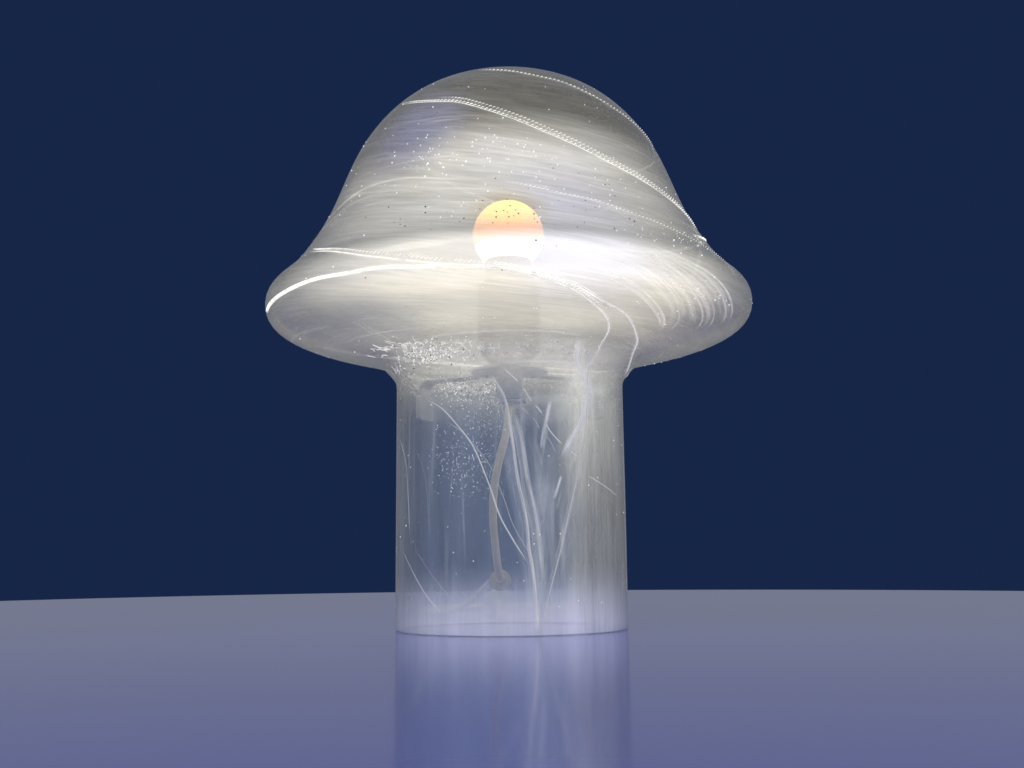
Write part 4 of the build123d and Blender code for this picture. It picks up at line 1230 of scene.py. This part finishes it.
# %% Finish of veils, threads and bubbles
def veil_milk():
    finish = Finish("veil_of_milk")
    marks = finish.add("Attribute", {"attribute_name": "veil"}, out=1)
    parts = finish.add("SeparateXYZ", {}, {0: marks})
    across, run, strength = (Wire(finish, part) for part in parts.socket.node.outputs)
    height = finish.height()
    drawn = finish.add("CombineXYZ", {}, {0: across * 2.2, 1: run * 45.0})
    wisps = finish.noise(1.0, 3.0, 0.6, place=drawn)
    share = (1 - across * across) ** 1.5 * strength * (0.35 + wisps.between(0.3, 0.7) * 0.9)
    squarely = 1 - finish.edge_on()
    in_cap = height.between(0.135, 0.175)
    # Painted glow: brighter in the cap than in the stem, and brighter where the veil is seen squarely.
    tone = finish.blend(in_cap, (0.34, 0.335, 0.32), (0.80, 0.77, 0.70))
    lit = finish.blend((squarely ** 0.8 * 0.85).held(), (0.06, 0.06, 0.055), tone)
    white = finish.add("BsdfPrincipled", {}, {
        "Base Color": finish.blend(in_cap, (0.78, 0.80, 0.84), (0.72, 0.70, 0.64)),
        "Roughness": 0.4, "Emission Color": lit, "Emission Strength": 1.1,
    })
    clear = finish.add("BsdfTransparent", {}, {0: (1, 1, 1, 1)})
    return finish.shows(finish.add("MixShader", {}, {0: share.held(), 1: clear, 2: white}))


def white_thread():
    finish = Finish("white_thread")
    in_cap = finish.height().between(0.135, 0.185)
    # Painted glow: dim in the stem, bright in the cap, with random darker spots.
    worn = finish.noise(260.0, 3.0)
    lit = finish.blend(in_cap, (0.14, 0.14, 0.14), (0.72, 0.70, 0.63))
    lit = finish.blend(worn.between(0.45, 0.7) * 0.5, lit, (0.05, 0.05, 0.045))
    return finish.shows(finish.add("BsdfPrincipled", {}, {
        "Base Color": finish.blend(worn, (0.62, 0.61, 0.58), (0.82, 0.82, 0.80)),
        "Roughness": 0.25, "Emission Color": lit, "Emission Strength": 1.3,
    }))


# A bubble with a painted glow: the bright ones a painted glint, the dark ones painted shade with no
# glow.
def bubble(name, colour, lit):
    finish = Finish(name)
    uneven = finish.noise(700.0, 2.0)
    return finish.shows(finish.add("BsdfPrincipled", {}, {
        "Base Color": finish.blend(uneven, colour, tuple(0.8 * channel for channel in colour)),
        "Roughness": 0.1, "Emission Color": (*lit, 1.0), "Emission Strength": 1.0,
    }))


# %% Pieces inside the wall
veils = piece_from("milk_veils", np.vstack(veil_points), veil_faces, "glass", orient=False)
store(veils, "veil", np.vstack(veil_marks))
veils.data.materials.append(veil_milk())
threads = piece_from("milk_threads", np.vstack(thread_points), thread_faces, "glass")
threads.data.materials.append(white_thread())


def bubbles_piece(name, beads, finish):
    """Many small balls as one mesh, each the same ball moved and sized."""
    ball = bmesh.new()
    bmesh.ops.create_icosphere(ball, subdivisions=1, radius=1.0)
    corners = np.array([corner.co[:] for corner in ball.verts])
    ball_faces = np.array([[corner.index for corner in face.verts] for face in ball.faces])
    ball.free()
    beads = np.array(beads)
    points = (corners[None] * beads[:, None, 3:] + beads[:, None, :3]).reshape(-1, 3)
    faces = (ball_faces[None] + len(corners) * np.arange(len(beads))[:, None, None]).reshape(-1, 3)
    piece_from(name, points, faces.tolist(), "glass", orient=False).data.materials.append(finish)


# Lit and shaded copies of one bubble: a painted glint and painted shade.
bright = bubble("painted_glint_bubble", (0.85, 0.85, 0.82), (0.80, 0.79, 0.75))
dark = bubble("painted_shade_bubble", (0.10, 0.095, 0.085), (0.0, 0.0, 0.0))
bubbles_piece("bright_bubbles", bright_beads, bright)
bubbles_piece("dark_bubbles", dark_beads, dark)

# %% [markdown]
# ## The lit bulb
# The ball is a frosted shade over a small board of light-emitting chips. Seen through the
# glass its top looks amber and its lower half almost white, with a darker seam between.

# %% Glowing ball
SEAM_HEIGHT, SEAM_HALF, SEAM_BLUR = 0.2388, 0.0011, 0.0006
SEAM_LOW, SEAM_HIGH = SEAM_HEIGHT - SEAM_HALF, SEAM_HEIGHT + SEAM_HALF


def glowing_ball():
    finish = Finish("lit_ball")
    height = finish.height()
    upper = height.between(SEAM_HEIGHT - 0.0005, SEAM_HEIGHT + 0.0005)
    in_seam = height.between(SEAM_LOW - SEAM_BLUR, SEAM_LOW) * (
        1 - height.between(SEAM_HIGH, SEAM_HIGH + SEAM_BLUR)
    )
    lower = finish.blend(height.between(0.2235, 0.232), (1.0, 0.84, 0.50), (1.0, 0.96, 0.82))
    amber = finish.blend(height.between(0.2420, 0.2640), (0.80, 0.22, 0.0), (0.90, 0.46, 0.08))
    tone = finish.blend(upper, lower, amber)
    tone = finish.blend(in_seam, tone, (0.30, 0.22, 0.12))
    frost = finish.noise(900.0, 2.0)
    return finish.shows(finish.add("BsdfPrincipled", {}, {
        "Base Color": (0.85, 0.82, 0.74, 1.0), "Roughness": 0.4 + frost * 0.1,
        "Emission Color": tone, "Emission Strength": 3.2,
    }))


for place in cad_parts["bulb_diffuser"].material_slots:
    place.material = glowing_ball()

# %% [markdown]
# ## Floor, backdrop and light
# The lamp stands on a plain blue floor, glossy enough to mirror the stem, before a plain
# backdrop. Two large soft lamps and a dim even sky light it, and the lit bulb and the glow
# painted into the glass do the rest.

# %% Floor
FLOOR_RADIUS = 0.9
floor_mesh = bpy.data.meshes.new("floor")
sweep = bmesh.new()
bmesh.ops.create_circle(sweep, cap_ends=True, radius=FLOOR_RADIUS, segments=96)
sweep.to_mesh(floor_mesh)
sweep.free()
floor = bpy.data.objects.new("floor", floor_mesh)
scene.collection.objects.link(floor)
floor_finish = Finish("blue_floor")
floor_mesh.materials.append(floor_finish.shows(floor_finish.add("BsdfPrincipled", {}, {
    "Base Color": (0.09, 0.12, 0.56, 1.0), "Roughness": 0.11, "Specular IOR Level": 1.0,
})))

# %% Soft lamps and sky
LAMPS_AIM = Vector((0.0, 0.0, 0.2))


def softbox(name, place, size, watts, colour):
    lamp = bpy.data.lights.new(name, "AREA")
    lamp.shape, lamp.size, lamp.energy, lamp.color = "DISK", size, watts, colour
    holder = bpy.data.objects.new(name, lamp)
    scene.collection.objects.link(holder)
    holder.location = place
    holder.rotation_mode = "QUATERNION"
    holder.rotation_quaternion = (Vector(place) - LAMPS_AIM).to_track_quat("Z", "Y")


softbox("key_softbox", (-1.1, -1.0, 1.5), 1.1, 9.0, (1.0, 0.98, 0.95))
softbox("fill_softbox", (1.4, -0.6, 0.9), 1.2, 4.0, (0.92, 0.96, 1.0))
BACKDROP = (0.0085, 0.0195, 0.062)
SKY, SKY_STRENGTH = (0.45, 0.48, 0.56), 0.5
world = bpy.data.worlds.new("plain_backdrop")
scene.world = world
world.use_nodes = True
sky_tree = world.node_tree
sky_tree.nodes.clear()
backdrop, sky = (sky_tree.nodes.new("ShaderNodeBackground") for _ in range(2))
backdrop.inputs["Color"].default_value = (*BACKDROP, 1.0)
sky.inputs["Color"].default_value = (*SKY, 1.0)
sky.inputs["Strength"].default_value = SKY_STRENGTH
path = sky_tree.nodes.new("ShaderNodeLightPath")
either = sky_tree.nodes.new("ShaderNodeMixShader")
sky_output = sky_tree.nodes.new("ShaderNodeOutputWorld")
for source, target in (
    (path.outputs["Is Camera Ray"], either.inputs[0]), (sky.outputs[0], either.inputs[1]),
    (backdrop.outputs[0], either.inputs[2]), (either.outputs[0], sky_output.inputs["Surface"]),
):
    sky_tree.links.new(source, target)
scene.view_settings.view_transform = "Standard"
print("backdrop", BACKDROP)
